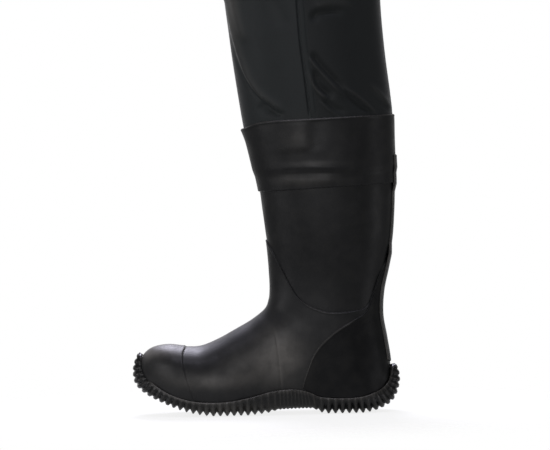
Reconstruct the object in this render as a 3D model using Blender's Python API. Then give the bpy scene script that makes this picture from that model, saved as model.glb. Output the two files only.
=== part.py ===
"""Left boot of a pair of bootfoot waders, with the lower end of its fabric leg.

A rubber foot and shaft stand on a saw-toothed outsole. A rubber cuff covers the joint
between the shaft and the leg. The foot and the leg are one skin, drawn through sections
that fan from the toe over the heel into the shaft, and every layer lies at a height over it.

Tables are in millimetres, the model is in metres: +Z up, toe towards -X, and the outer
side of the foot towards -Y.
"""

import math
from collections import namedtuple

import bpy
import numpy as np

MM = 0.001

# Wall thicknesses and the clearance between two pieces
GAP = 0.3
SHAFT_WALL = 1.8
FOXING = 1.2
TOE_CAP = 0.8
COUNTER = 0.8
STAY = 1.2
FABRIC = 1.0
CUFF = 1.8
INSOLE = 3.5
INSOLE_EASE = 1.0

# Shape of the last: fullness of its sections, and the inward swing of the toe
FULLNESS = 0.18
TOE_SWING = 7.0
SWING_START_X = -30.0
SWING_END_X = -150.0

# Shape of the outsole: roundness of its lower corner, depth of a side rib and width of a
# tooth's flat land as shares of the tooth, and the rise of its deck into the foot
CORNER_POWER = 0.77
RIB_SHARE = 0.45
LAND_SHARE = 0.17
DECK_CROWN = 8.0

# Half width of the back stay, and how far a layer reaches forward on the skin
STAY_HALF_WIDTH = 16.0
STAY_REACH = 0.8
COUNTER_REACH = 0.43

# Front lip of the cuff: how far it stands off, and how far round it goes
LIP_FLARE = 2.0
LIP_REACH = 0.07

# Roundness of the insole's ends, in rows
INSOLE_ROUND = 0.45

# Widest half width that a cutter has to reach over
BOOT_HALF_WIDTH = 80.0

# Lengths along the skin, in sections: a step in the wall, the ramp of the cuff up to the
# end of the leg, the rise of the cuff's lip, and the ramps and clearance of the back stay
STEP = 0.03
RAMP_START = 0.30
RAMP_END = 0.08
LIP_START = 2.2
LIP_RISE = 0.8
STAY_OVERRUN = 0.35
STAY_RAMP = 0.40
STAY_CLEAR = 0.06

# Counts of facets and of points along a curve
COLUMNS = 32
CORNER_STEPS = 4
ARCH_POINTS = 25
FOOT_POINTS = 17
EDGE_POINTS = 80
CURVE_POINTS = 400
HALVINGS = 40

# A tooth this near the floor stands on it, and a sharper fold than this stays an edge
FLOOR_TOLERANCE = 0.05
SHARP_ANGLE = math.radians(35.0)

# Sections of the skin, from the toe to the hem. The front end of each lies on the ridge of
# the foot or the front of the leg, the back end under the foot, then up the heel and calf.
# lateral and medial are half widths, opening is the share of them left open at the back end,
# and widest is the place of the greatest width along the section.
Section = namedtuple(
    "Section", "front_x front_z back_x back_z lateral medial opening widest"
)
SECTIONS = [
    Section(-144.6, 58.0, -143.2, 45.0, 0.0, 0.0, 0.80, 0.60),
    Section(-140.6, 68.4, -136.0, 35.0, 21.5, 23.5, 0.82, 0.62),
    Section(-130.0, 76.8, -122.5, 26.4, 34.5, 36.0, 0.84, 0.64),
    Section(-112.0, 80.0, -104.0, 18.2, 45.0, 43.5, 0.86, 0.66),
    Section(-92.5, 77.9, -82.0, 12.2, 50.5, 46.5, 0.88, 0.67),
    Section(-74.6, 78.4, -61.0, 10.2, 53.0, 47.5, 0.88, 0.68),
    Section(-54.6, 85.9, -42.0, 10.2, 53.0, 46.5, 0.87, 0.66),
    Section(-33.4, 97.2, -21.0, 10.8, 50.0, 44.5, 0.85, 0.60),
    Section(-13.4, 108.6, 6.0, 12.0, 46.0, 42.0, 0.83, 0.52),
    Section(0.8, 120.2, 40.0, 13.0, 43.5, 41.0, 0.80, 0.46),
    Section(6.0, 132.2, 76.0, 11.5, 42.5, 41.0, 0.78, 0.45),
    Section(7.2, 142.0, 106.0, 11.0, 42.5, 42.0, 0.75, 0.47),
    Section(7.3, 152.0, 129.0, 15.5, 43.0, 42.5, 0.50, 0.49),
    Section(6.9, 161.0, 140.8, 31.0, 43.0, 42.5, 0.0, 0.50),
    Section(6.5, 170.0, 142.0, 56.0, 42.5, 42.0, 0.0, 0.49),
    Section(5.9, 179.0, 138.3, 84.0, 42.5, 42.0, 0.0, 0.48),
    Section(5.2, 188.0, 134.0, 112.0, 43.5, 43.0, 0.0, 0.48),
    Section(4.3, 197.0, 135.6, 140.0, 45.5, 45.0, 0.0, 0.48),
    Section(3.0, 208.0, 141.8, 168.0, 48.5, 48.0, 0.0, 0.49),
    Section(1.2, 223.0, 148.0, 198.0, 51.5, 51.0, 0.0, 0.50),
    Section(-0.8, 239.0, 151.0, 232.0, 53.5, 53.0, 0.0, 0.50),
    Section(-2.9, 257.0, 152.2, 264.5, 55.0, 54.5, 0.0, 0.50),
    Section(-7.8, 282.0, 151.7, 288.0, 56.0, 55.5, 0.0, 0.50),
    Section(-13.6, 308.0, 151.2, 316.0, 57.0, 56.5, 0.0, 0.50),
    Section(-19.0, 331.0, 151.0, 343.0, 58.0, 57.5, 0.0, 0.50),
    Section(-24.6, 367.0, 148.6, 370.0, 59.5, 59.0, 0.0, 0.50),
    Section(-30.7, 411.0, 143.8, 412.0, 61.0, 60.5, 0.0, 0.50),
    Section(-36.0, 456.0, 140.2, 456.0, 62.0, 61.5, 0.0, 0.50),
    Section(-40.4, 495.0, 138.6, 495.0, 62.5, 62.0, 0.0, 0.50),
]

OPENING = Section._fields.index("opening")

# Numbers of the sections where something starts or ends
COUNTER_START = 8.5
HEEL_SECTION = 13
FORM_TOP = 13.8
CUFF_BOTTOM = 21
SHAFT_TOP = 23.7
HEM = len(SECTIONS) - 1
INSOLE_START = 1.5
INSOLE_END = 12.5

# Edges that show from the side
SidePoint = namedtuple("SidePoint", "x z")
TOE_CAP_EDGE = [
    SidePoint(-92.5, 78.0),
    SidePoint(-95.4, 69.0),
    SidePoint(-92.0, 48.0),
    SidePoint(-80.5, 11.0),
]
FOXING_EDGE = [
    SidePoint(3.8, 201.0),
    SidePoint(17.7, 174.5),
    SidePoint(39.5, 134.8),
    SidePoint(67.0, 118.4),
    SidePoint(95.0, 117.0),
    SidePoint(116.5, 122.0),
    SidePoint(125.0, 138.0),
    SidePoint(134.5, 162.0),
    SidePoint(145.0, 181.0),
]
COUNTER_TOP = [
    SidePoint(41.5, 31.0),
    SidePoint(46.1, 46.5),
    SidePoint(58.2, 73.6),
    SidePoint(77.6, 93.3),
    SidePoint(100.4, 107.2),
    SidePoint(115.5, 117.0),
    SidePoint(123.5, 134.0),
    SidePoint(132.5, 158.5),
    SidePoint(144.0, 177.0),
    SidePoint(156.0, 193.0),
]
COUNTER_FOOT = [
    SidePoint(41.5, 31.0),
    SidePoint(58.0, 22.5),
    SidePoint(76.0, 19.5),
    SidePoint(98.0, 19.0),
    SidePoint(116.0, 22.0),
    SidePoint(129.0, 27.5),
    SidePoint(137.5, 36.0),
    SidePoint(141.2, 47.0),
    SidePoint(143.0, 56.0),
    SidePoint(156.0, 57.0),
]
LEG_EDGE = [
    SidePoint(-7.9, 283.0),
    SidePoint(22.5, 282.5),
    SidePoint(80.4, 279.5),
    SidePoint(151.8, 285.0),
]
CUFF_TOP = [
    SidePoint(-19.0, 330.5),
    SidePoint(3.7, 337.9),
    SidePoint(57.0, 340.1),
    SidePoint(151.0, 343.6),
]
STAY_ZONE = [
    SidePoint(0.0, 0.0),
    SidePoint(200.0, 0.0),
    SidePoint(200.0, 400.0),
    SidePoint(0.0, 400.0),
]
STAY_BOTTOM_Z = 56.8
STAY_TOP_Z = 297.0

# Sections of the outsole, from the top of the toe bumper under the foot to the top of the
# heel bumper. Tip points lie on the teeth, rand points on the upper edge of the side wall.
# flat is the share of the width that is flat underneath, tooth the depth of the tread.
SoleSection = namedtuple(
    "SoleSection", "tip_x tip_z rand_x rand_z lateral medial flat tooth"
)
SOLE_SECTIONS = [
    SoleSection(-146.8, 73.2, -143.4, 71.0, 0.0, 0.0, 0.0, 1.5),
    SoleSection(-149.4, 69.4, -144.0, 67.6, 8.0, 8.0, 0.0, 2.0),
    SoleSection(-152.8, 61.5, -143.6, 61.2, 12.0, 12.0, 0.0, 2.4),
    SoleSection(-154.6, 50.0, -142.0, 52.0, 16.5, 16.5, 0.0, 3.0),
    SoleSection(-151.6, 36.0, -137.6, 44.0, 24.5, 26.0, 0.1, 3.6),
    SoleSection(-139.5, 25.0, -129.5, 36.4, 35.0, 37.0, 0.3, 4.2),
    SoleSection(-118.0, 14.2, -113.0, 26.0, 44.5, 44.5, 0.45, 4.6),
    SoleSection(-92.0, 4.4, -90.0, 18.0, 52.0, 48.8, 0.55, 4.8),
    SoleSection(-66.0, 0.0, -66.0, 15.4, 56.0, 50.8, 0.6, 4.8),
    SoleSection(-42.0, 0.0, -42.0, 16.2, 55.8, 49.8, 0.6, 4.8),
    SoleSection(-18.0, 0.0, -18.0, 20.4, 52.8, 47.6, 0.6, 4.8),
    SoleSection(4.0, 2.6, 4.0, 26.0, 49.4, 45.5, 0.6, 3.0),
    SoleSection(14.0, 5.4, 14.0, 27.6, 48.0, 44.8, 0.6, 1.2),
    SoleSection(34.0, 6.2, 34.0, 28.2, 46.0, 44.0, 0.6, 1.2),
    SoleSection(53.0, 6.0, 50.0, 24.4, 44.0, 43.0, 0.6, 1.2),
    SoleSection(61.0, 2.0, 60.0, 19.6, 42.5, 42.0, 0.6, 3.6),
    SoleSection(70.0, 0.0, 70.0, 17.8, 42.0, 41.5, 0.6, 4.8),
    SoleSection(92.0, 0.0, 92.0, 16.8, 42.0, 41.5, 0.6, 4.8),
    SoleSection(114.0, 0.0, 111.0, 18.2, 40.5, 40.0, 0.6, 4.8),
    SoleSection(131.0, 4.0, 124.6, 22.2, 36.0, 35.6, 0.45, 4.6),
    SoleSection(144.6, 10.8, 134.2, 26.6, 27.0, 26.8, 0.3, 4.2),
    SoleSection(151.6, 20.5, 139.6, 31.0, 19.5, 19.5, 0.1, 3.6),
    SoleSection(155.3, 34.0, 143.8, 37.6, 15.5, 15.5, 0.0, 3.0),
    SoleSection(154.9, 45.0, 145.8, 46.0, 12.5, 12.5, 0.0, 2.4),
    SoleSection(152.6, 51.8, 146.6, 51.4, 8.5, 8.5, 0.0, 2.0),
    SoleSection(150.2, 55.2, 147.4, 54.6, 0.0, 0.0, 0.0, 1.5),
]
SOLE_END = len(SOLE_SECTIONS) - 1

# Tread zones between two sole sections, with the pitch of their teeth
TreadZone = namedtuple("TreadZone", "start end pitch")
TREAD = [
    TreadZone(0, 12, 8.0),
    TreadZone(12, 14, 4.2),
    TreadZone(14, SOLE_END, 8.0),
]

# Colours are linear red, green and blue
Finish = namedtuple("Finish", "colour roughness")
RUBBER = Finish((0.011, 0.011, 0.012), 0.5)
TREAD_RUBBER = Finish((0.009, 0.009, 0.010), 0.45)
NYLON = Finish((0.020, 0.023, 0.025), 0.75)
FELT = Finish((0.045, 0.045, 0.048), 0.95)


def through(rows, at, before=None):
    """Smooth curve through numbered rows, read at the row numbers given."""
    rows = np.asarray(rows, float)
    first = 2.0 * rows[0] - rows[1] if before is None else before
    padded = np.vstack([first, rows, 2.0 * rows[-1] - rows[-2]])
    at = np.clip(np.asarray(at, float), 0.0, len(rows) - 1.0)
    start = np.minimum(at.astype(int), len(rows) - 2)
    u = (at - start)[..., None]
    a, b, c, d = (padded[start + step] for step in range(4))
    curve = 2.0 * b + (c - a) * u
    curve += (2.0 * a - 5.0 * b + 4.0 * c - d) * u**2
    curve += (3.0 * b - a - 3.0 * c + d) * u**3
    return 0.5 * curve


def section_at(number):
    """Section columns at any section number; the skin is mirrored past the toe."""
    mirrored = np.array(SECTIONS[1]) * (1, 1, 1, 1, -1, -1, 1, 1)
    row = through(SECTIONS, number, before=mirrored)
    opening = np.maximum(row[..., OPENING], 0.0)
    row[..., OPENING] = np.where(np.asarray(number) >= HEEL_SECTION, 0.0, opening)
    return row


def swing(x):
    """Shift of the forefoot towards the inner side, growing to the tip of the toe."""
    share = np.maximum(SWING_START_X - x, 0.0) / (SWING_START_X - SWING_END_X)
    return TOE_SWING * share**2


def skin(number, reach):
    """Point of the bare skin. reach is 0 on the front ridge, -1 and 1 at the back end."""
    number, reach = np.broadcast_arrays(np.asarray(number, float), np.asarray(reach, float))
    row = section_at(number)
    lateral, medial, opening, widest = (row[..., k] for k in range(4, 8))
    turn = np.abs(reach)
    ahead = turn <= widest
    angle = math.pi / 2 * np.where(ahead, turn / widest, (turn - widest) / (1.0 - widest))
    sine, cosine = np.sin(angle), np.cos(angle)
    along = np.where(ahead, widest * (1.0 - cosine), widest + (1.0 - widest) * sine)
    front_cap = sine * (1.0 + FULLNESS * cosine**2)
    back_cap = opening + (1.0 - opening) * cosine * (1.0 + FULLNESS * sine**2)
    half = np.where(reach < 0.0, -lateral, medial) * np.where(ahead, front_cap, back_cap)
    x = row[..., 0] + along * (row[..., 2] - row[..., 0])
    z = row[..., 1] + along * (row[..., 3] - row[..., 1])
    return np.stack([x, half + swing(x), z], axis=-1)


def outward(number, reach):
    """Unit normal of the skin; on the toe line and the back seam it lies in the middle plane."""
    number, reach = np.broadcast_arrays(np.asarray(number, float), np.asarray(reach, float))
    apart, aside = 0.01, 0.004
    level = np.clip(number, 3 * apart, HEM - apart)
    turn = np.clip(reach, aside - 1.0, 1.0 - aside)
    along = skin(level + apart, turn) - skin(level - apart, turn)
    around = skin(level, turn + aside) - skin(level, turn - aside)
    normal = np.cross(along, around)
    seam = skin(level + apart, np.sign(reach)) - skin(level - apart, np.sign(reach))
    flat = np.zeros_like(level)
    back = np.stack([seam[..., 2], flat, -seam[..., 0]], axis=-1)
    row = section_at(number)
    toe = np.stack([row[..., 3] - row[..., 1], flat, row[..., 0] - row[..., 2]], axis=-1)
    on_seam = (np.abs(reach) >= 1.0) & (number >= HEEL_SECTION)
    normal = np.where(on_seam[..., None], back, normal)
    normal = np.where((number <= 0.0)[..., None], toe, normal)
    return normal / np.linalg.norm(normal, axis=-1, keepdims=True)


def lift(number, reach, height):
    """Point at a height over the skin."""
    height = np.asarray(height, float)[..., None]
    return skin(number, reach) + outward(number, reach) * height


def locate(x, z):
    """Section number and reach of a point of the side view."""
    low, high = 0.0, float(HEM)
    for _ in range(HALVINGS):
        middle = (low + high) / 2
        front_x, front_z, back_x, back_z = section_at(middle)[:4]
        side = (back_x - front_x) * (z - front_z) - (back_z - front_z) * (x - front_x)
        low, high = (middle, high) if side > 0.0 else (low, middle)
    front_x, front_z, back_x, back_z, _, _, _, widest = section_at(low)
    chord = np.array([back_x - front_x, back_z - front_z])
    along = np.clip(chord @ (x - front_x, z - front_z) / (chord @ chord), 0.0, 1.0)
    if along <= widest:
        return low, widest * math.acos(1.0 - along / widest) / (math.pi / 2)
    return low, widest + (1.0 - widest) * math.asin((along - widest) / (1.0 - widest)) / (math.pi / 2)


def edge_numbers(points, reach):
    """Section number of a side-view edge on each column of the skin."""
    curve = through(points, np.linspace(0.0, len(points) - 1.0, EDGE_POINTS))
    numbers, reaches = np.array([locate(x, z) for x, z in curve]).T
    order = np.argsort(reaches)
    return np.interp(np.abs(reach), reaches[order], numbers[order])


def back_number(z):
    """Section number where the back seam has a height."""
    numbers = np.linspace(HEEL_SECTION, HEM, CURVE_POINTS)
    return float(np.interp(z, section_at(numbers)[:, 3], numbers))


def band(start, end, count):
    """Rows of section numbers evenly spread from one edge to another."""
    return [start + (end - start) * k / count for k in range(count + 1)]


def welded(points, faces):
    """Joins points that coincide and drops the faces that this closes up."""
    _, first, index = np.unique(np.round(points, 4), axis=0, return_index=True, return_inverse=True)
    index = index.ravel()
    kept = []
    for face in faces:
        corners = list(dict.fromkeys(int(index[k]) for k in face))
        if len(corners) > 2:
            kept.append(corners)
    return first, kept


def grid_faces(rows, columns, offset):
    """Faces of a grid of points, seen from outside the skin."""
    faces = []
    for i in range(rows - 1):
        for j in range(columns - 1):
            a = offset + i * columns + j
            faces.append((a, a + columns, a + columns + 1))
            faces.append((a, a + columns + 1, a + 1))
    return faces


def add_solid(name, points, faces, finish, collection):
    """Mesh object with outward faces and its own material."""
    mesh = bpy.data.meshes.new(name)
    mesh.from_pydata([tuple(point * MM) for point in points], [], faces)
    mesh.validate()
    mesh.shade_smooth()
    mesh.set_sharp_from_angle(angle=SHARP_ANGLE)
    solid = bpy.data.objects.new(name, mesh)
    collection.objects.link(solid)
    material = bpy.data.materials.new(name)
    material.use_nodes = True
    shader = material.node_tree.nodes["Principled BSDF"]
    shader.inputs["Base Color"].default_value = (*finish.colour, 1.0)
    shader.inputs["Roughness"].default_value = finish.roughness
    mesh.materials.append(material)
    return solid


def add_shell(name, blocks, finish, collection):
    """Closed wall between two heights over the skin, with a rim along every open edge.

    A block is a grid of section numbers, reaches, outer heights and inner heights.
    """
    outer, inner, faces = [], [], []
    count = 0
    for numbers, reaches, high, low in blocks:
        outer.append(lift(numbers, reaches, high).reshape(-1, 3))
        inner.append(lift(numbers, reaches, low).reshape(-1, 3))
        faces += grid_faces(*numbers.shape, count)
        count += numbers.size
    outer, inner = np.vstack(outer), np.vstack(inner)
    first, faces = welded(outer, faces)
    size = len(first)
    edges = {}
    for face in faces:
        for a, b in zip(face, face[1:] + face[:1]):
            edges[a, b] = edges.get((a, b), 0) + 1
    rim = [(b, a, a + size, b + size) for a, b in edges if (b, a) not in edges]
    inside = [[k + size for k in reversed(face)] for face in faces]
    points = np.vstack([outer[first], inner[first]])
    return add_solid(name, points, faces + inside + rim, finish, collection)


def joint_rows(reach):
    """Rows under and over the lower end of the leg, from the foot of the cuff to the shaft's top."""
    leg_edge = edge_numbers(LEG_EDGE, reach)
    under = band(np.full_like(reach, CUFF_BOTTOM), leg_edge - RAMP_START, 2)
    over = band(leg_edge, np.full_like(reach, SHAFT_TOP), 2)
    return under, over


def upper_rows(reach):
    """Rows of the upper from the toe to the collar: section numbers and outer heights."""
    cap = edge_numbers(TOE_CAP_EDGE, reach)
    foxing = edge_numbers(FOXING_EDGE, reach)
    toe = np.zeros_like(reach)
    under, over = joint_rows(reach)
    rows = [(numbers, FOXING + TOE_CAP) for numbers in band(toe, cap, 5)]
    rows += [(numbers, FOXING) for numbers in band(cap + STEP, toe + HEEL_SECTION, 9)]
    rows += [(numbers, FOXING) for numbers in band(toe + HEEL_SECTION, foxing, 10)[1:]]
    shaft = band(foxing + STEP, toe + CUFF_BOTTOM, 3)[:-1] + under + over
    return rows + [(numbers, 0.0) for numbers in shaft]


def add_upper(reach, collection):
    """Foot and shaft: one wall with the foxing and the toe cap as steps outside."""
    rows = upper_rows(reach)
    numbers = np.array([row for row, _ in rows])
    high = np.array([np.full_like(reach, height) for _, height in rows])
    low = np.full_like(high, -SHAFT_WALL)
    reaches = np.broadcast_to(reach, numbers.shape)
    return add_shell("upper", [(numbers, reaches, high, low)], RUBBER, collection)


def add_foot_form(reach, collection):
    """Filled form of the foot, a gap larger than the upper, that hollows the outsole."""
    rows = [row for row in upper_rows(reach) if row[0].min() < FORM_TOP]
    grid = []
    for numbers, height in rows:
        points = lift(numbers, reach, np.full_like(reach, height + GAP))
        section = section_at(numbers[[0, -1]])
        chord = section[:, 2:4] - section[:, 0:2]
        chord /= np.linalg.norm(chord, axis=1, keepdims=True)
        points[[0, -1], 0] += chord[:, 0] * GAP
        points[[0, -1], 2] += chord[:, 1] * GAP
        grid.append(points)
    columns = len(reach)
    points = np.vstack(grid + [grid[-1].mean(axis=0, keepdims=True)])
    faces = grid_faces(len(grid), columns, 0)
    top = (len(grid) - 1) * columns
    faces += [(top + j, len(points) - 1, top + j + 1) for j in range(columns - 1)]
    for i in range(len(grid) - 1):
        a = i * columns
        faces.append((a, a + columns - 1, a + 2 * columns - 1, a + columns))
    first, faces = welded(points, faces)
    return add_solid("foot_form", points[first], faces, RUBBER, collection)


def tread_rows():
    """Sole section numbers from toe to heel, each with its share of the tooth depth.

    A tooth that stands on the floor ends in a flat land.
    """
    numbers = np.linspace(0.0, SOLE_END, CURVE_POINTS)
    curve = through(SOLE_SECTIONS, numbers)[:, 0:2]
    length = np.concatenate([[0.0], np.cumsum(np.linalg.norm(np.diff(curve, axis=0), axis=1))])
    rows = []
    for zone in TREAD:
        start, end = np.interp([zone.start, zone.end], numbers, length)
        teeth = round((end - start) / zone.pitch)
        pitch = (end - start) / teeth
        for k in range(teeth):
            middle = start + (k + 0.5) * pitch
            on_floor = np.interp(middle, length, curve[:, 1]) < FLOOR_TOLERANCE
            rows.append((start + k * pitch, 1.0))
            lands = (-LAND_SHARE / 2, LAND_SHARE / 2) if on_floor else (0.0,)
            rows += [(middle + land * pitch, 0.0) for land in lands]
    rows.append((length[-1], 1.0))
    return [(float(np.interp(place, length, numbers)), share) for place, share in rows]


def sole_row(number, share):
    """Points of one sole section, from the outer rand edge round the bottom to the inner one,
    and last the middle of the deck between the two edges."""
    tip_x, tip_z, rand_x, rand_z, lateral, medial, flat, tooth = through(SOLE_SECTIONS, number)
    flat = max(flat, 0.0)
    tip = np.array([tip_x, max(tip_z, 0.0)])
    inward = np.array([rand_x, rand_z]) - tip
    depth = np.linalg.norm(inward)
    inward /= depth
    valley = tooth * share
    angle = np.linspace(0.0, math.pi / 2, CORNER_STEPS + 1)
    wide = flat + (1.0 - flat) * np.cos(angle) ** CORNER_POWER
    wide[-1] = flat
    deep = valley + (depth - valley) * (1.0 - np.sin(angle) ** CORNER_POWER)
    rib = RIB_SHARE * valley
    outer = [(-max(lateral - rib, 0.0) * w, d) for w, d in zip(wide, deep)]
    inner = [(max(medial - rib, 0.0) * w, d) for w, d in zip(wide, deep)]
    outline = outer + inner[::-1] + [(0.0, depth + DECK_CROWN)]
    points = [(tip[0] + inward[0] * d, y, tip[1] + inward[1] * d) for y, d in outline]
    return [(x, y + swing(x), z) for x, y, z in points]


def add_outsole(form, collection):
    """Toothed cup: a hull drawn through the sole sections, hollowed by the foot's form."""
    grid = np.array([sole_row(number, share) for number, share in tread_rows()])
    rows, columns, _ = grid.shape
    faces = []
    for i in range(rows - 1):
        for j in range(columns):
            a, b = i * columns + j, i * columns + (j + 1) % columns
            faces.append((a, b, b + columns, a + columns))
    first, faces = welded(grid.reshape(-1, 3), faces)
    sole = add_solid("outsole", grid.reshape(-1, 3)[first], faces, TREAD_RUBBER, collection)
    cut = sole.modifiers.new("foot", "BOOLEAN")
    cut.operation = "DIFFERENCE"
    cut.object = form
    return sole


def add_insole(reach, collection):
    """Footbed on the floor of the cup, in the opening between the edges of the upper."""
    rows = [row[0] for row, _ in upper_rows(reach) if INSOLE_START < row[0] < INSOLE_END]
    stations = np.linspace(0.0, len(rows) - 1.0, 2 * len(rows) - 1)
    corners = []
    for side in (-1.0, 1.0):
        for height in (FOXING + GAP, FOXING + GAP - INSOLE):
            corners.append(lift(rows, np.full(len(rows), side), np.full(len(rows), height)))
    corners = np.stack(corners, axis=1)
    corners[:, :, 0::2] = corners[:, [2, 3, 2, 3], 0::2]
    corners[:, :, 1] -= swing(corners[:, :, 0])
    corners[:, :, 1] -= np.sign(corners[:, :, 1]) * INSOLE_EASE
    between = np.floor(stations).astype(int)
    points = (corners[between] + corners[np.ceil(stations).astype(int)]) / 2
    to_end = np.minimum(stations, stations[-1] - stations) + INSOLE_ROUND
    points[:, :, 1] *= np.sin(math.pi / 2 * np.minimum(to_end, 1.0))[:, None]
    points[:, :, 1] += swing(points[:, :, 0])
    points = points[:, [0, 2, 3, 1]]
    faces = [(3, 2, 1, 0)]
    for i in range(len(points) - 1):
        for j in range(4):
            a, b = 4 * i + j, 4 * i + (j + 1) % 4
            faces.append((b, b + 4, a + 4, a))
    last = 4 * (len(points) - 1)
    faces.append((last, last + 1, last + 2, last + 3))
    return add_solid("insole", points.reshape(-1, 3), faces, FELT, collection)


def add_cutter(name, outline, half_width, collection):
    """Prism over a side-view outline, as wide as the boot."""
    count = len(outline)
    points = np.array([(x, y, z) for y in (-half_width, half_width) for x, z in outline])
    faces = [tuple(range(count)), tuple(range(2 * count - 1, count - 1, -1))]
    for k in range(count):
        after = (k + 1) % count
        faces.append((k, k + count, after + count, after))
    cutter = add_solid(name, points, faces, RUBBER, collection)
    cutter.hide_render = True
    cutter.display_type = "WIRE"
    return cutter


def keep_inside(solid, cutter):
    """Trims a solid to the part of it that lies in the cutter."""
    trim = solid.modifiers.new(cutter.name, "BOOLEAN")
    trim.operation = "INTERSECT"
    trim.object = cutter


def add_counter(reach, collection, cutters):
    """Heel overlay, cut from a layer over the foxing along its arch and its foot."""
    foxing = [numbers for numbers, height in upper_rows(reach) if height == FOXING]
    rows = [numbers for numbers in foxing if numbers.max() > COUNTER_START]
    blocks = []
    for columns in (reach <= -COUNTER_REACH, reach >= COUNTER_REACH):
        numbers = np.array(rows)[:, columns]
        low = np.full_like(numbers, FOXING + GAP)
        reaches = np.broadcast_to(reach[columns], numbers.shape)
        blocks.append((numbers, reaches, low + COUNTER, low))
    counter = add_shell("counter", blocks, RUBBER, collection)
    arch = through(COUNTER_TOP, np.linspace(len(COUNTER_TOP) - 1.0, 0.0, ARCH_POINTS))
    foot = through(COUNTER_FOOT, np.linspace(0.0, len(COUNTER_FOOT) - 1.0, FOOT_POINTS))
    outline = [tuple(point) for point in foot] + [tuple(point) for point in arch[:-1]]
    keep_inside(counter, add_cutter("counter_outline", outline, BOOT_HALF_WIDTH, cutters))
    return counter


def cuff_heights(numbers, leg_edge, reach):
    """Inner height of the cuff: on the shaft below the end of the leg, on the leg above it."""
    on_leg = np.clip((numbers - leg_edge + RAMP_START) / (RAMP_START - RAMP_END), 0.0, 1.0)
    lip = np.clip((numbers - CUFF_BOTTOM - LIP_START) / LIP_RISE, 0.0, 1.0) ** 2
    flare = LIP_FLARE * lip * np.exp(-((reach / LIP_REACH) ** 2))
    return GAP + on_leg * (FABRIC + GAP) + flare


def add_cuff(reach, collection):
    """Rubber band over the joint, stepped in below the end of the leg."""
    leg_edge = edge_numbers(LEG_EDGE, reach)
    under, over = joint_rows(reach)
    numbers = np.array(under + [leg_edge - RAMP_END] + over + [edge_numbers(CUFF_TOP, reach)])
    low = cuff_heights(numbers, leg_edge, reach)
    reaches = np.broadcast_to(reach, numbers.shape)
    return add_shell("cuff", [(numbers, reaches, low + CUFF, low)], RUBBER, collection)


def add_leg(reach, collection):
    """Fabric tube from under the cuff up to the open hem."""
    _, over = joint_rows(reach)
    numbers = np.array(over + band(over[-1], np.full_like(reach, HEM), 4)[1:])
    low = np.full_like(numbers, GAP)
    reaches = np.broadcast_to(reach, numbers.shape)
    return add_shell("leg", [(numbers, reaches, low + FABRIC, low)], NYLON, collection)


def add_back_stay(reach, collection, cutters):
    """Strip up the back over the counter, the shaft and the lower half of the cuff."""
    counter_end = back_number(COUNTER_TOP[-2].z)
    start, end = back_number(STAY_BOTTOM_Z), back_number(STAY_TOP_Z)
    leg_end = float(edge_numbers(LEG_EDGE, 1.0))
    on_counter = FOXING + GAP + COUNTER + GAP / 2
    on_cuff = GAP + CUFF
    on_leg = on_cuff + FABRIC + GAP
    layers = [
        (start, on_counter),
        (counter_end + STAY_OVERRUN, on_counter),
        (counter_end + STAY_OVERRUN + STAY_RAMP, 0.0),
        (CUFF_BOTTOM - STAY_RAMP, 0.0),
        (CUFF_BOTTOM - STAY_CLEAR, on_cuff),
        (leg_end - RAMP_START - STAY_CLEAR, on_cuff),
        (leg_end - RAMP_END - STAY_CLEAR, on_leg),
        (end, on_leg),
    ]
    knots = [number for number, _ in layers]
    halves = np.arange(math.ceil(2 * start), 2 * CUFF_BOTTOM - 1) / 2
    rows = np.unique(np.round(knots + list(halves), 3))
    beneath = np.interp(rows, knots, [height for _, height in layers])
    blocks = []
    for columns in (reach <= -STAY_REACH, reach >= STAY_REACH):
        reaches = np.broadcast_to(reach[columns], (len(rows), columns.sum()))
        numbers = np.broadcast_to(rows[:, None], reaches.shape)
        low = np.broadcast_to((beneath + GAP)[:, None], reaches.shape)
        blocks.append((numbers, reaches, low + STAY, low))
    stay = add_shell("back_stay", blocks, RUBBER, collection)
    keep_inside(stay, add_cutter("stay_width", STAY_ZONE, STAY_HALF_WIDTH, cutters))
    return stay


def main():
    """Builds every piece of the boot."""
    for old in list(bpy.data.objects):
        bpy.data.objects.remove(old, do_unlink=True)
    parts = bpy.data.collections.new("bootfoot_wader")
    cutters = bpy.data.collections.new("cutters")
    for collection in (parts, cutters):
        bpy.context.scene.collection.children.link(collection)
    reach = np.linspace(-1.0, 1.0, COLUMNS + 1)
    form = add_foot_form(reach, cutters)
    form.hide_render = True
    form.display_type = "WIRE"
    add_outsole(form, parts)
    add_upper(reach, parts)
    add_insole(reach, parts)
    add_counter(reach, parts, cutters)
    add_back_stay(reach, parts, cutters)
    add_leg(reach, parts)
    add_cuff(reach, parts)


main()
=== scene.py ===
"""Looks of the left boot of a pair of bootfoot waders, with the lower end of its fabric leg.

Every piece is drawn over one skin, which runs through sections from the toe over the heel
into the leg. Tables are in millimetres, the scene is in metres: +Z up, toe towards -X, and
the outer side of the foot towards -Y.
"""

import math
from collections import namedtuple
from functools import cache

import bpy
import numpy as np
from bpy.props import FloatProperty, FloatVectorProperty, PointerProperty
from bpy.types import Operator, Panel, PropertyGroup
from mathutils import Matrix, Vector


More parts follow.
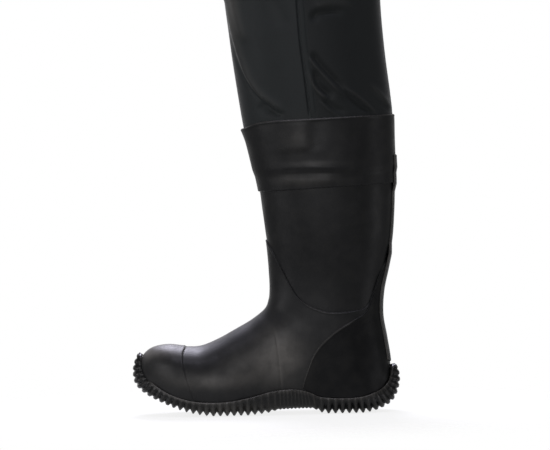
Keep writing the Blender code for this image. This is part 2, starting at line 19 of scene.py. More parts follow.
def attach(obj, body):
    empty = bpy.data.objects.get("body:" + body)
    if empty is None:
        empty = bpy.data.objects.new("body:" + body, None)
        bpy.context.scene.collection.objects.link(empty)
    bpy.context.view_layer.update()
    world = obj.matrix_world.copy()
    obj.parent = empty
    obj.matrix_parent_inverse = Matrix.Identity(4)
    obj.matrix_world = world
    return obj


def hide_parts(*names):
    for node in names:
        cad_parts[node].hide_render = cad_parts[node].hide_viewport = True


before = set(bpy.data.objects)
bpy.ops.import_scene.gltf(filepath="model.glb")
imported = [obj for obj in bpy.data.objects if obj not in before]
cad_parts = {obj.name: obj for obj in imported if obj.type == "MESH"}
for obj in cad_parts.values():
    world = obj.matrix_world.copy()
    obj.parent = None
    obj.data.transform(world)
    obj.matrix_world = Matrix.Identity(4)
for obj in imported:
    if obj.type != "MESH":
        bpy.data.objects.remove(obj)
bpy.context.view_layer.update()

bl_info = {
    "name": "Bootfoot wader",
    "version": (1, 0, 0),
    "blender": (4, 5, 0),
    "location": "View3D > Sidebar > Wader",
    "description": "Dresses the left boot of a pair of waders in rubber, nylon and felt",
    "category": "Object",
}

MM = 0.001
BODY = "root"
WHITE = (1.0, 1.0, 1.0, 1.0)

# Period of a wave texture of scale 1
WAVE_PERIOD = math.pi / 10.0

# Sections of the skin, from the toe to the hem. The front end of each lies on the ridge of
# the foot or the front of the leg, the back end under the foot, then up the heel and calf.
# lateral and medial are half widths, opening is the share of them left open at the back end,
# and widest is the place of the greatest width along the section.
Section = namedtuple("Section", "front_x front_z back_x back_z lateral medial opening widest")
SECTIONS = [Section(*row) for row in [
    (-144.6, 58.0, -143.2, 45.0, 0.0, 0.0, 0.80, 0.60),
    (-140.6, 68.4, -136.0, 35.0, 21.5, 23.5, 0.82, 0.62),
    (-130.0, 76.8, -122.5, 26.4, 34.5, 36.0, 0.84, 0.64),
    (-112.0, 80.0, -104.0, 18.2, 45.0, 43.5, 0.86, 0.66),
    (-92.5, 77.9, -82.0, 12.2, 50.5, 46.5, 0.88, 0.67),
    (-74.6, 78.4, -61.0, 10.2, 53.0, 47.5, 0.88, 0.68),
    (-54.6, 85.9, -42.0, 10.2, 53.0, 46.5, 0.87, 0.66),
    (-33.4, 97.2, -21.0, 10.8, 50.0, 44.5, 0.85, 0.60),
    (-13.4, 108.6, 6.0, 12.0, 46.0, 42.0, 0.83, 0.52),
    (0.8, 120.2, 40.0, 13.0, 43.5, 41.0, 0.80, 0.46),
    (6.0, 132.2, 76.0, 11.5, 42.5, 41.0, 0.78, 0.45),
    (7.2, 142.0, 106.0, 11.0, 42.5, 42.0, 0.75, 0.47),
    (7.3, 152.0, 129.0, 15.5, 43.0, 42.5, 0.50, 0.49),
    (6.9, 161.0, 140.8, 31.0, 43.0, 42.5, 0.0, 0.50),
    (6.5, 170.0, 142.0, 56.0, 42.5, 42.0, 0.0, 0.49),
    (5.9, 179.0, 138.3, 84.0, 42.5, 42.0, 0.0, 0.48),
    (5.2, 188.0, 134.0, 112.0, 43.5, 43.0, 0.0, 0.48),
    (4.3, 197.0, 135.6, 140.0, 45.5, 45.0, 0.0, 0.48),
    (3.0, 208.0, 141.8, 168.0, 48.5, 48.0, 0.0, 0.49),
    (1.2, 223.0, 148.0, 198.0, 51.5, 51.0, 0.0, 0.50),
    (-0.8, 239.0, 151.0, 232.0, 53.5, 53.0, 0.0, 0.50),
    (-2.9, 257.0, 152.2, 264.5, 55.0, 54.5, 0.0, 0.50),
    (-7.8, 282.0, 151.7, 288.0, 56.0, 55.5, 0.0, 0.50),
    (-13.6, 308.0, 151.2, 316.0, 57.0, 56.5, 0.0, 0.50),
    (-19.0, 331.0, 151.0, 343.0, 58.0, 57.5, 0.0, 0.50),
    (-24.6, 367.0, 148.6, 370.0, 59.5, 59.0, 0.0, 0.50),
    (-30.7, 411.0, 143.8, 412.0, 61.0, 60.5, 0.0, 0.50),
    (-36.0, 456.0, 140.2, 456.0, 62.0, 61.5, 0.0, 0.50),
    (-40.4, 495.0, 138.6, 495.0, 62.5, 62.0, 0.0, 0.50),
]]
OPENING = Section._fields.index("opening")
FULLNESS = 0.18
TOE_SWING = 7.0
SWING_START_X = -30.0
SWING_END_X = -150.0

# Numbers of the sections where something starts or ends
HEEL_SECTION = 13
FORM_TOP = 13.8
CUFF_BOTTOM = 21
SHAFT_TOP = 23.7
HEM = len(SECTIONS) - 1
INSOLE_START = 1.6
INSOLE_END = 12.3

# Edges that show from the side, as points with an x and a z
TOE_CAP_EDGE = [(-92.5, 78.0), (-95.4, 69.0), (-92.0, 48.0), (-80.5, 11.0)]
FOXING_EDGE = [
    (3.8, 201.0), (17.7, 174.5), (39.5, 134.8), (67.0, 118.4), (95.0, 117.0),
    (116.5, 122.0), (125.0, 138.0), (134.5, 162.0), (145.0, 181.0),
]
COUNTER_TOP = [
    (41.5, 31.0), (46.1, 46.5), (58.2, 73.6), (77.6, 93.3), (100.4, 107.2),
    (115.5, 117.0), (123.5, 134.0), (132.5, 158.5), (144.0, 177.0),
]
COUNTER_FOOT = [
    (41.5, 31.0), (58.0, 22.5), (76.0, 19.5), (98.0, 19.0), (116.0, 22.0),
    (129.0, 27.5), (137.5, 36.0), (141.2, 47.0), (145.0, 57.0),
]
LEG_EDGE = [(-7.9, 283.0), (22.5, 282.5), (80.4, 279.5), (151.8, 285.0)]
CUFF_TOP = [(-19.0, 330.5), (3.7, 337.9), (57.0, 340.1), (151.0, 343.6)]
VAMP_LINE = [(2.6, 122.5), (9.7, 96.9), (13.6, 68.0), (15.7, 34.1), (16.4, 12.4)]
LEG_SEAM = [(43.6, 495.0), (47.1, 433.4), (52.1, 386.9), (57.4, 336.0)]
STAY_BOTTOM_Z = 57.0
COUNTER_PEAK_Z = 177.0
STAY_TOP_Z = 297.0

# Sections of the outsole, from the top of the toe bumper under the foot to the top of the
# heel bumper. Tip points lie on the teeth, rand points on the upper edge of the side wall.
# flat is the share of the width that is flat underneath, tooth the depth of the tread.
SoleSection = namedtuple("SoleSection", "tip_x tip_z rand_x rand_z lateral medial flat tooth")
SOLE_SECTIONS = [SoleSection(*row) for row in [
    (-146.8, 73.2, -143.4, 71.0, 0.0, 0.0, 0.0, 1.5),
    (-149.4, 69.4, -144.0, 67.6, 8.0, 8.0, 0.0, 2.0),
    (-152.8, 61.5, -143.6, 61.2, 12.0, 12.0, 0.0, 2.4),
    (-154.6, 50.0, -142.0, 52.0, 16.5, 16.5, 0.0, 3.0),
    (-151.6, 36.0, -137.6, 44.0, 24.5, 26.0, 0.1, 3.6),
    (-139.5, 25.0, -129.5, 36.4, 35.0, 37.0, 0.3, 4.2),
    (-118.0, 14.2, -113.0, 26.0, 44.5, 44.5, 0.45, 4.6),
    (-92.0, 4.4, -90.0, 18.0, 52.0, 48.8, 0.55, 4.8),
    (-66.0, 0.0, -66.0, 15.4, 56.0, 50.8, 0.6, 4.8),
    (-42.0, 0.0, -42.0, 16.2, 55.8, 49.8, 0.6, 4.8),
    (-18.0, 0.0, -18.0, 20.4, 52.8, 47.6, 0.6, 4.8),
    (4.0, 2.6, 4.0, 26.0, 49.4, 45.5, 0.6, 3.0),
    (14.0, 5.4, 14.0, 27.6, 48.0, 44.8, 0.6, 1.2),
    (34.0, 6.2, 34.0, 28.2, 46.0, 44.0, 0.6, 1.2),
    (53.0, 6.0, 50.0, 24.4, 44.0, 43.0, 0.6, 1.2),
    (61.0, 2.0, 60.0, 19.6, 42.5, 42.0, 0.6, 3.6),
    (70.0, 0.0, 70.0, 17.8, 42.0, 41.5, 0.6, 4.8),
    (92.0, 0.0, 92.0, 16.8, 42.0, 41.5, 0.6, 4.8),
    (114.0, 0.0, 111.0, 18.2, 40.5, 40.0, 0.6, 4.8),
    (131.0, 4.0, 124.6, 22.2, 36.0, 35.6, 0.45, 4.6),
    (144.6, 10.8, 134.2, 26.6, 27.0, 26.8, 0.3, 4.2),
    (151.6, 20.5, 139.6, 31.0, 19.5, 19.5, 0.1, 3.6),
    (155.3, 34.0, 143.8, 37.6, 15.5, 15.5, 0.0, 3.0),
    (154.9, 45.0, 145.8, 46.0, 12.5, 12.5, 0.0, 2.4),
    (152.6, 51.8, 146.6, 51.4, 8.5, 8.5, 0.0, 2.0),
    (150.2, 55.2, 147.4, 54.6, 0.0, 0.0, 0.0, 1.5),
]]
SOLE_END = len(SOLE_SECTIONS) - 1

# Tread zones between two sole sections, with the pitch of their teeth
TreadZone = namedtuple("TreadZone", "start end pitch")
TREAD = [TreadZone(*row) for row in [
    (0, 12, 8.0),
    (12, 14, 4.2),
    (14, SOLE_END, 8.0),
]]

# Form of the sole: the sections where its bumpers end, the power that squares its corners, the
# depth of the side ribs and of the bumpers' valleys as shares of the tread's, then the deck,
# the ledge and the lip in millimetres, and the notch between the bumpers' two rows of teeth
TOE_BUMPER_END = 7.0
HEEL_BUMPER_START = 18.0
CORNER_POWER = 0.77
RIB_SHARE = 0.4
BUMPER_VALLEY_LOSS = 0.35
DECK_CROWN = 8.0
LEDGE_HEIGHT = 2.4
LIP_ROUND = 1.3
LIP_FULL_WIDTH = 20.0
NOTCH = 1.2
NOTCH_WIDTH = 0.1

# Flat land on each tooth, as a share of its pitch: on the floor, off it, and more on the
# bumpers. A tooth is on the floor up to the height that touches it.
FLOOR_LAND = 0.17
SHARP_LAND = 0.04
BUMPER_LAND = 0.3
FLOOR_TOUCH = 0.05
TOOTH_ROUNDING = 0.35
SOLE_SHARP_ANGLE = math.radians(38.0)

# Soft troughs and ridges, each along a bend through three points of the side view. side is
# -1 on the outer side, 1 on the inner side and 0 on both; a trough has a negative height.
# pinch is the depth of the sharper valley that runs below a fold, as a share of its height;
# such a fold falls off more slowly on its other side.
Fold = namedtuple("Fold", "side height width pinch start_x start_z bend_x bend_z end_x end_z")
LEG_FOLDS = [Fold(*row) for row in [
    (-1, 2.4, 3.2, 0.5, -38.0, 478.0, -11.0, 387.0, 36.0, 337.0),
    (-1, -2.4, 6.5, 0.0, 0.0, 361.0, 13.0, 350.0, 29.0, 339.0),
    (-1, 2.2, 5.0, 0.0, -29.0, 500.0, -25.0, 465.0, -14.0, 424.0),
    (-1, -1.0, 7.0, 0.0, 13.0, 486.0, 23.0, 464.0, 33.0, 440.0),
    (-1, -2.2, 3.6, 0.0, 60.0, 450.0, 68.0, 460.0, 100.0, 462.0),
    (-1, 1.2, 6.0, 0.0, 62.0, 466.0, 80.0, 472.0, 112.0, 470.0),
    (-1, -2.4, 2.8, 0.7, 57.5, 416.0, 70.0, 399.0, 102.0, 364.0),
    (-1, -2.6, 2.8, 0.8, 60.5, 398.0, 66.0, 378.0, 84.0, 361.0),
    (-1, -1.6, 2.6, 0.7, 70.0, 365.0, 82.0, 352.0, 99.0, 341.0),
    (-1, -2.2, 3.2, 0.7, 130.0, 339.0, 113.0, 356.0, 91.0, 373.0),
    (-1, 1.2, 3.0, 0.2, 120.0, 383.0, 139.0, 363.0, 151.0, 346.0),
    (1, 2.2, 4.0, 0.5, -30.0, 450.0, -12.0, 398.0, 26.0, 344.0),
    (1, -1.8, 3.4, 0.8, 66.0, 408.0, 80.0, 384.0, 104.0, 350.0),
    (1, -1.8, 3.6, 0.8, 98.0, 392.0, 116.0, 370.0, 140.0, 346.0),
    (1, -1.8, 4.0, 0.4, 54.0, 462.0, 82.0, 470.0, 118.0, 458.0),
    (1, 1.0, 7.0, 0.0, 2.0, 486.0, 8.0, 456.0, 14.0, 420.0),
]]
RUBBER_CREASES = [Fold(*row) for row in [
    (0, -0.7, 8.0, 0.0, 0.0, 128.0, 22.0, 118.0, 48.0, 114.0),
    (0, 0.5, 9.0, 0.0, -16.0, 108.0, 12.0, 100.0, 40.0, 98.0),
    (0, -0.5, 7.0, 0.0, -58.0, 74.0, -51.0, 60.0, -46.0, 44.0),
]]
CUFF_CREASES = [Fold(*row) for row in [
    (-1, 1.5, 11.0, 0.7, 46.0, 300.0, 45.0, 318.0, 44.0, 346.0),
    (1, 1.5, 11.0, 0.7, 46.0, 300.0, 50.0, 318.0, 48.0, 342.0),
    (0, 1.0, 4.5, 0.0, 18.0, 284.2, 56.0, 284.9, 104.0, 283.0),
    (0, -0.6, 3.0, 0.0, 12.0, 278.0, 56.0, 278.5, 110.0, 277.1),
    (0, 1.1, 5.5, 0.0, 18.0, 270.0, 52.0, 269.6, 96.0, 270.2),
]]

# Patches of painted highlight on the rubber and the cloth, on both sides of the boot
HighlightPatch = namedtuple("HighlightPatch", "x z wide tall amount")
PAINTED_HIGHLIGHT_PATCHES = [HighlightPatch(*row) for row in [
    (16.0, 68.0, 23.0, 24.0, 1.15),
    (-20.0, 56.0, 26.0, 16.0, 0.4),
    (-64.0, 41.0, 40.0, 8.0, 0.6),
    (-116.0, 50.0, 14.0, 9.0, 0.2),
    (-117.0, 79.0, 24.0, 9.0, 1.15),
    (-134.0, 73.0, 11.0, 8.0, 0.8),
    (-45.0, 7.0, 40.0, 6.0, 1.0),
    (52.0, 270.0, 28.0, 6.0, 0.4),
    (56.0, 289.0, 24.0, 2.5, 0.25),
    (42.0, 320.0, 14.0, 18.0, 0.25),
    (-30.0, 462.0, 7.0, 42.0, 0.38),
]]

# Painted highlight on the sole: across the points of its lip, along the toe's lip and on the teeth
LIP_HIGHLIGHT = (0.6, 1.0, 1.0, 0.5)
TOE_LIP_HIGHLIGHT = 1.2
TOE_LIP_X = -85.0
TOE_LIP_WIDTH = 30.0
RIDGE_HIGHLIGHT = 0.5
RIDGE_WIDTH = 0.12

# Stretches of the side view: start, run of the soft start, end, run of the soft end. The vamp
# line goes by height, the painted highlights of the U line and the counter's arch by x.
VAMP_STRETCH = (24.0, 14.0, 104.0, 20.0)
U_LINE_STRETCH = (36.0, 16.0, 96.0, 18.0)
ARCH_END_X = 108.0
ARCH_FADE = 18.0

# Step at an edge of the upper, and stripes beside it: their place and width across the edge.
# The toe cap's edge and the vamp line are spread wider.
STEP_RUN = 1.2
BEAD_STRIPE = (-1.1, 0.75)
GROOVE_STRIPE = (0.9, 0.65)
CAP_SPREAD = 1.9
VAMP_SPREAD = 1.5
VAMP_BEAD = 0.1
VAMP_GROOVE = 0.3

# Stripes of painted highlight along edges, and how much of it each has
U_LINE_HIGHLIGHT_STRIPE = (-0.5, 0.7)
U_LINE_HIGHLIGHT = 0.25
VAMP_HIGHLIGHT_STRIPE = (2.6, 1.4)
VAMP_HIGHLIGHT = 0.15
ARCH_HIGHLIGHT_STRIPE = (0.7, 0.7)
ARCH_HIGHLIGHT = 0.3
STAY_HIGHLIGHT_STRIPE = (0.5, 0.6)
STAY_HIGHLIGHT = 0.8
CUFF_HIGHLIGHT_STRIPE = (0.6, 0.8)
CUFF_HIGHLIGHT = 0.25

# How a fold fades at its ends and past its side of the boot, as shares, and where its valley
# lies, in widths of the fold
FOLD_FADE = 0.25
FOLD_SIDE = (-0.02, 0.12, 1.0, 0.06)
VALLEY_PLACE = 1.5
VALLEY_WIDTH = 0.7

# Form of the footbed, in millimetres, and the powers that square its ends, sides and faces
INSOLE_INSET = 1.2
INSOLE_LIFT = 0.15
INSOLE_END_POWER = 9
INSOLE_SIDE_POWER = 0.35
INSOLE_FACE_POWER = 0.6
HEEL_CUP = 1.6
HEEL_CUP_POWER = 3
HEEL_CUP_X = 40.0
HEEL_CUP_RUN = 50.0

# Edges of the overlays, in millimetres: the rounding and the power that makes it fuller, the
# bead and its stripe, and the thickness that is left at the rim
EDGE_POWER = 0.6
COUNTER_ROUND = 1.1
COUNTER_STRIPE = (1.4, 0.8)
COUNTER_RIM = 0.05
CUFF_ROUND = 1.3
CUFF_BEAD = 0.3
CUFF_STRIPE = (1.6, 1.0)
CUFF_RIM_SHARE = 0.35
STAY_ROUND = 0.9
STAY_EDGE_POWER = 0.5
STAY_BEAD = 0.35
STAY_STRIPE = (1.5, 0.9)
STAY_RIM = 0.1
STAY_CLEARANCE = 0.1
STAY_SPREAD_POWER = 0.7

# The cuff, in sections: where it steps out over the leg's edge, and where its lip starts over its
# lower edge. The lip's reach is a share of the way round.
CUFF_STEP_START = 0.40
CUFF_STEP_RUN = 0.45
CUFF_LIP_START = 2.2
CUFF_LIP_RUN = 0.8
CUFF_LIP_REACH = 0.09

# The leg's folds: how strong they are, how they calm down at the seams and start over the cuff,
# in sections, and the painted highlight on their crests
LEG_FOLD_STRENGTH = 1.2
SEAM_CALM = 0.6
FOLD_START_RUN = 0.35
CREST_HIGHLIGHT = 0.16
CREST_HEIGHT = 2.2

# Seams and stitches of the leg, in millimetres. The seam keeps to one share of the columns round
# the leg, with more columns at these steps beside it. Stitches run inside its front and back edges.
HALF_GIRTH = 250.0
SEAM_SHARE = 0.41
SEAM_STEPS = (-3.2, -2.4, -1.8, -1.4, -1.0, -0.6, -0.2, 0.2, 0.6, 1.0, 1.6, 7.0, 7.6, 8.2, 8.8, 9.6)
SEAM_HEIGHT = 0.6
SEAM_START = -0.4
SEAM_RISE = 0.8
SEAM_FALL = 4.0
SEAM_GROOVE = 1.4
SEAM_GROOVE_STRIPE = (-1.0, 1.0)
PANEL_BLUR = 2.0
HEM_HEIGHT = 0.6
HEM_RUN_SECTIONS = 0.04
STITCH_INSETS = (1.3, 1.8)
HEM_STITCH_INSET = 2.5
STITCH_TOP_Z = 492.0
STITCH_LIFT_SHARE = 0.2

# Rows beside the edge of an overlay, in millimetres across it
EDGE_STEPS = (-3.4, -2.4, -1.7, -1.2, -0.8, -0.4, -0.1, 0.2, 0.5, 0.8, 1.2, 1.7, 2.6)

# Counts of rows, columns and points. The upper's rows lie ahead of the toe cap's edge, the vamp
# line, the foxing's edge and the collar.
COLUMNS = 160
UPPER_ROWS = (34, 42, 74, 48)
FORM_COLUMNS = 64
FORM_DENSITY = 0.5
CORNER_STEPS = 14
LIP_STEPS = 3
TOOTH_ROWS = 10
INSOLE_ROWS = 90
INSOLE_COLUMNS = 32
COUNTER_STATIONS = 110
COUNTER_ROWS = 70
STAY_ROWS = 240
STAY_COLUMNS = 41
CUFF_ROWS = 80
LEG_ROWS = 120
LEG_COLUMNS = 110
EDGE_POINTS = 160
CURVE_POINTS = 600
FOLD_POINTS = 72
HALVINGS = 40

# Stage, in metres
FLOOR_RADIUS = 0.45
FLOOR_FADE = 0.18
LIGHTS_AIM = (0.0, 0.0, 0.15)


def hex_colour(code):
    """Linear red, green, blue and alpha of an sRGB hex colour."""
    levels = [int(code[k : k + 2], 16) / 255 for k in (1, 3, 5)]
    linear = [v / 12.92 if v <= 0.04045 else ((v + 0.055) / 1.055) ** 2.4 for v in levels]
    return (*linear, 1.0)


def length(name, description, millimetres):
    """Property for a size of the boot."""
    return FloatProperty(
        name=name,
        description=description,
        default=millimetres * MM,
        min=0.0,
        unit="LENGTH",
        precision=4,
    )


def colour(name, description, code):
    """Property for a colour of the boot."""
    return FloatVectorProperty(
        name=name,
        description=description,
        default=hex_colour(code),
        size=4,
        min=0.0,
        max=1.0,
        subtype="COLOR",
    )


def stage_size(name, description, default, unit="LENGTH"):
    """Property for a place, an angle or a power of the stage."""
    return FloatProperty(name=name, description=description, default=default, unit=unit)


class WaderSizes(PropertyGroup):
    """Sizes of the boot's walls, overlays and seams"""

    gap: length("Gap", "Clearance between two pieces", 0.3)
    wall: length("Wall", "Thickness of the shaft's rubber", 1.8)
    foxing: length("Foxing", "Extra thickness of the lower boot, below the U line", 1.2)
    toe_cap: length("Toe cap", "Extra thickness over the toe", 0.8)
    counter: length("Counter", "Thickness of the heel overlay", 0.8)
    stay: length("Back stay", "Thickness of the strip up the back", 1.2)
    stay_half: length("Stay half width", "Half the width of the strip up the back", 16.0)
    fabric: length("Fabric", "Thickness of the leg's cloth", 1.0)
    cuff: length("Cuff", "Thickness of the rubber band", 1.8)
    lip: length("Lip", "How far the cuff's front corner stands off the leg", 2.0)
    insole: length("Insole", "Thickness of the felt footbed", 3.5)
    bead: length("Bead", "Height of the bead along an overlay's edge", 0.25)
    groove: length("Groove", "Depth of the groove beside an overlay's edge", 0.15)
    seam: length("Seam", "Width of the leg's felled seam", 8.0)
    hem: length("Hem", "Width of the turned hem", 18.0)
    stitch: length("Stitch", "Length of one stitch", 2.4)
    stitch_pitch: length("Stitch pitch", "Distance between two stitches", 3.2)
    thread: length("Thread", "Thickness of the thread", 0.5)


class WaderColours(PropertyGroup):
    """Colours of the boot's materials"""

    rubber: colour("Rubber", "Moulded rubber of the upper", "#17181a")
    # Light tone of the painted highlights, and of a faint random bloom on the rubber
    highlight_and_bloom: colour("Bloom", "Dull bloom that lies on the rubber in patches", "#777470")
    # Darker copy of the rubber for the heel overlay: painted shade
    counter: colour("Counter", "Rubber of the heel overlay, darkened as painted shade", "#121315")
    tread: colour("Tread", "Rubber of the outsole", "#0f1011")
    nylon_front: colour("Front cloth", "Nylon ahead of the side seam", "#343839")
    nylon_back: colour("Back cloth", "Nylon behind the side seam", "#2b2e2f")
    lining: colour("Lining", "Knitted lining inside the boot", "#3a3c3f")
    felt: colour("Felt", "Felt of the footbed", "#5a5a5c")
    thread: colour("Thread", "Thread of the leg's seams", "#1f2224")
    floor: colour("Floor", "Shaded tone of the lit floor", "#9a9a9a")
    sky_light: colour("Sky light", "Colour of the light from above", "#efedff")
    side_light: colour("Side light", "Colour of the light from the sides", "#fdfcff")


class WaderStage(PropertyGroup):
    """Camera and light"""

    distance: stage_size("Distance", "From the camera to the boot", 4.3)
    height: stage_size("Height", "Height of the camera", 0.33)
    frame_width: stage_size("Frame", "Width of the picture at the boot", 0.637)
    look_x: stage_size("Look at X", "Middle of the picture", 0.0139)
    look_z: stage_size("Look at Z", "Middle of the picture", 0.2177)
    roll: stage_size("Roll", "Tilt of the picture", math.radians(-1.1), "ROTATION")
    top_power: stage_size("Top light", "Power of the light over the boot", 13.0, "POWER")
    left_power: stage_size("Left light", "Power of the light beyond the toe", 2.3, "POWER")
    front_power: stage_size("Front light", "Power of the light by the camera", 3.7, "POWER")
    over_power: stage_size("Over light", "Power of the strip overhead", 4.0, "POWER")
    right_power: stage_size("Right light", "Power of the card beyond the heel", 0.9, "POWER")
    rim_power: stage_size("Rim light", "Power of the strip behind the shin", 0.3, "POWER")


def keys_of(group):
    """Names of a property group's own values."""
    return [key for key in group.bl_rna.properties.keys() if key not in ("rna_type", "name")]


def in_mm(group):
    """Sizes of a property group in millimetres, by name."""
    keys = keys_of(group)
    return namedtuple("Sizes", keys)(*(getattr(group, key) / MM for key in keys))


def smooth(share):
    """Eased share between 0 and 1."""
    share = np.clip(share, 0.0, 1.0)
    return share * share * (3.0 - 2.0 * share)


def hump(distance, width):
    """Soft hump of height 1."""
    return np.exp(-((distance / width) ** 2))


def stripe(distance, place, width):
    """Soft stripe of height 1 at a place beside an edge."""
    return hump(distance - place, width)


def between(value, start, rise, end, fall):
    """Share that rises softly to 1 after a start and falls softly to 0 before an end."""
    return smooth((value - start) / rise) * smooth((end - value) / fall)


def bulged(value, power):
    """Value whose size is raised to a power, with its sign kept."""
    return np.sign(value) * np.abs(value) ** power


def eased(count):
    """Column of shares from 0 to 1, closer together at both ends."""
    return 0.5 - 0.5 * np.cos(np.linspace(0.0, math.pi, count))[:, None]


def through(rows, at, before=None):
    """Smooth curve through numbered rows, read at the row numbers given."""
    rows = np.asarray(rows, float)
    first = 2.0 * rows[0] - rows[1] if before is None else before
    padded = np.vstack([first, rows, 2.0 * rows[-1] - rows[-2]])
    at = np.clip(np.asarray(at, float), 0.0, len(rows) - 1.0)
    start = np.minimum(at.astype(int), len(rows) - 2)
    u = (at - start)[..., None]
    a, b, c, d = (padded[start + step] for step in range(4))
    curve = 2.0 * b + (c - a) * u
    curve += (2.0 * a - 5.0 * b + 4.0 * c - d) * u**2
    curve += (3.0 * b - a - 3.0 * c + d) * u**3
    return 0.5 * curve


def along_curve(points, count):
    """Points evenly numbered along a smooth curve of the side view."""
    return through(points, np.linspace(0.0, len(points) - 1.0, count))


def section_at(number):
    """Section columns at any section number; the skin is mirrored past the toe."""
    mirrored = np.array(SECTIONS[1]) * (1, 1, 1, 1, -1, -1, 1, 1)
    row = through(SECTIONS, number, before=mirrored)
    opening = np.maximum(row[..., OPENING], 0.0)
    row[..., OPENING] = np.where(np.asarray(number) >= HEEL_SECTION, 0.0, opening)
    return row


def swing(x):
    """Shift of the forefoot towards the inner side, growing to the tip of the toe."""
    share = np.maximum(SWING_START_X - x, 0.0) / (SWING_START_X - SWING_END_X)
    return TOE_SWING * share**2


def skin(number, reach):
    """Point of the bare skin. reach is 0 on the front ridge, -1 and 1 at the back end."""
    number, reach = np.broadcast_arrays(np.asarray(number, float), np.asarray(reach, float))
    row = section_at(number)
    lateral, medial, opening, widest = (row[..., k] for k in range(4, 8))
    turn = np.abs(reach)
    ahead = turn <= widest
    angle = math.pi / 2 * np.where(ahead, turn / widest, (turn - widest) / (1.0 - widest))
    sine, cosine = np.sin(angle), np.cos(angle)
    along = np.where(ahead, widest * (1.0 - cosine), widest + (1.0 - widest) * sine)
    front_cap = sine * (1.0 + FULLNESS * cosine**2)
    back_cap = opening + (1.0 - opening) * cosine * (1.0 + FULLNESS * sine**2)
    half = np.where(reach < 0.0, -lateral, medial) * np.where(ahead, front_cap, back_cap)
    x = row[..., 0] + along * (row[..., 2] - row[..., 0])
    z = row[..., 1] + along * (row[..., 3] - row[..., 1])
    return np.stack([x, half + swing(x), z], axis=-1)


def outward(number, reach):
    """Unit normal of the skin; on the toe line and the back seam it lies in the middle plane."""
    number, reach = np.broadcast_arrays(np.asarray(number, float), np.asarray(reach, float))
    apart, aside = 0.01, 0.004
    level = np.clip(number, 3 * apart, HEM - apart)
    turn = np.clip(reach, aside - 1.0, 1.0 - aside)
    along = skin(level + apart, turn) - skin(level - apart, turn)
    around = skin(level, turn + aside) - skin(level, turn - aside)
    normal = np.cross(along, around)
    seam = skin(level + apart, np.sign(reach)) - skin(level - apart, np.sign(reach))
    flat = np.zeros_like(level)
    back = np.stack([seam[..., 2], flat, -seam[..., 0]], axis=-1)
    row = section_at(number)
    toe = np.stack([row[..., 3] - row[..., 1], flat, row[..., 0] - row[..., 2]], axis=-1)
    on_seam = (np.abs(reach) >= 1.0) & (number >= HEEL_SECTION)
    normal = np.where(on_seam[..., None], back, normal)
    normal = np.where((number <= 0.0)[..., None], toe, normal)
    return normal / np.linalg.norm(normal, axis=-1, keepdims=True)


def lift(number, reach, height):
    """Point at a height over the skin."""
    height = np.asarray(height, float)[..., None]
    return skin(number, reach) + outward(number, reach) * height


def locate(x, z):
    """Section number and reach of a point of the side view."""
    low, high = 0.0, float(HEM)
    for _ in range(HALVINGS):
        middle = (low + high) / 2
        front_x, front_z, back_x, back_z = section_at(middle)[:4]
        side = (back_x - front_x) * (z - front_z) - (back_z - front_z) * (x - front_x)
        low, high = (middle, high) if side > 0.0 else (low, middle)
    front_x, front_z, back_x, back_z, _, _, _, widest = section_at(low)
    chord = np.array([back_x - front_x, back_z - front_z])
    along = np.clip(chord @ (x - front_x, z - front_z) / (chord @ chord), 0.0, 1.0)
    quarter = math.pi / 2
    if along <= widest:
        return low, widest * math.acos(1.0 - along / widest) / quarter
    rest = 1.0 - widest
    return low, widest + rest * math.asin((along - widest) / rest) / quarter


def located(points, count):
    """Section numbers and reaches along a curve of the side view."""
    return np.array([locate(x, z) for x, z in along_curve(points, count)]).T


def edge_numbers(points, reach):
    """Section number of a side-view edge on each column of the skin."""
    numbers, reaches = located(points, EDGE_POINTS)
    order = np.argsort(reaches)
    return np.interp(np.abs(reach), reaches[order], numbers[order])


def back_number(z):
    """Section number where the back seam has a height."""
    numbers = np.linspace(HEEL_SECTION, HEM, CURVE_POINTS)
    return float(np.interp(z, section_at(numbers)[:, 3], numbers))


def section_length(number, reach):
    """Millimetres of skin to one section, at a place."""
    apart = 0.02
    step = skin(number + apart, reach) - skin(number - apart, reach)
    return np.linalg.norm(step, axis=-1) / (2 * apart)


def band(start, end, count):
    """Rows of section numbers evenly spread from one edge to another."""
    return [start + (end - start) * k / count for k in range(count + 1)]


def fold_height(folds, points, reach):
    """Height that soft folds add at points of the skin."""
    x, z = points[..., 0].ravel(), points[..., 2].ravel()
    reach = np.broadcast_to(reach, points.shape[:-1]).ravel()
    total = np.zeros_like(x)
    for fold in folds:
        path = along_curve(np.reshape(fold[4:], (3, 2)), FOLD_POINTS)
        tangent = np.gradient(path, axis=0)
        tangent /= np.linalg.norm(tangent, axis=1, keepdims=True)
        away_x, away_z = x[:, None] - path[:, 0], z[:, None] - path[:, 1]
        nearest = np.argmin(away_x**2 + away_z**2, axis=1)
        pick = np.arange(len(x)), nearest
        ahead, up = tangent[nearest].T
        across = away_x[pick] * up - away_z[pick] * ahead
        past = np.abs(away_x[pick] * ahead + away_z[pick] * up)
        share = nearest / (FOLD_POINTS - 1.0)
        fade = between(share, 0.0, FOLD_FADE, 1.0, FOLD_FADE) * hump(past, fold.width)
        lean = np.where(across < 0.0, 1.0 + fold.pinch, 1.0)
        shape = hump(across, fold.width * lean)
        shape -= fold.pinch * hump(across - VALLEY_PLACE * fold.width, VALLEY_WIDTH * fold.width)
        if fold.side:
            fade *= between(reach * fold.side, *FOLD_SIDE)
        total += fold.height * fade * shape
    return total.reshape(points.shape[:-1])


def ledge(across, rise, bead, groove, spread=1.0):
    """Height at an overlay's edge: a rounded step, a bead behind it and a groove ahead of it."""
    across = across / spread
    step = rise * smooth(0.5 - across / STEP_RUN)
    return step + bead * stripe(across, *BEAD_STRIPE) - groove * stripe(across, *GROOVE_STRIPE)


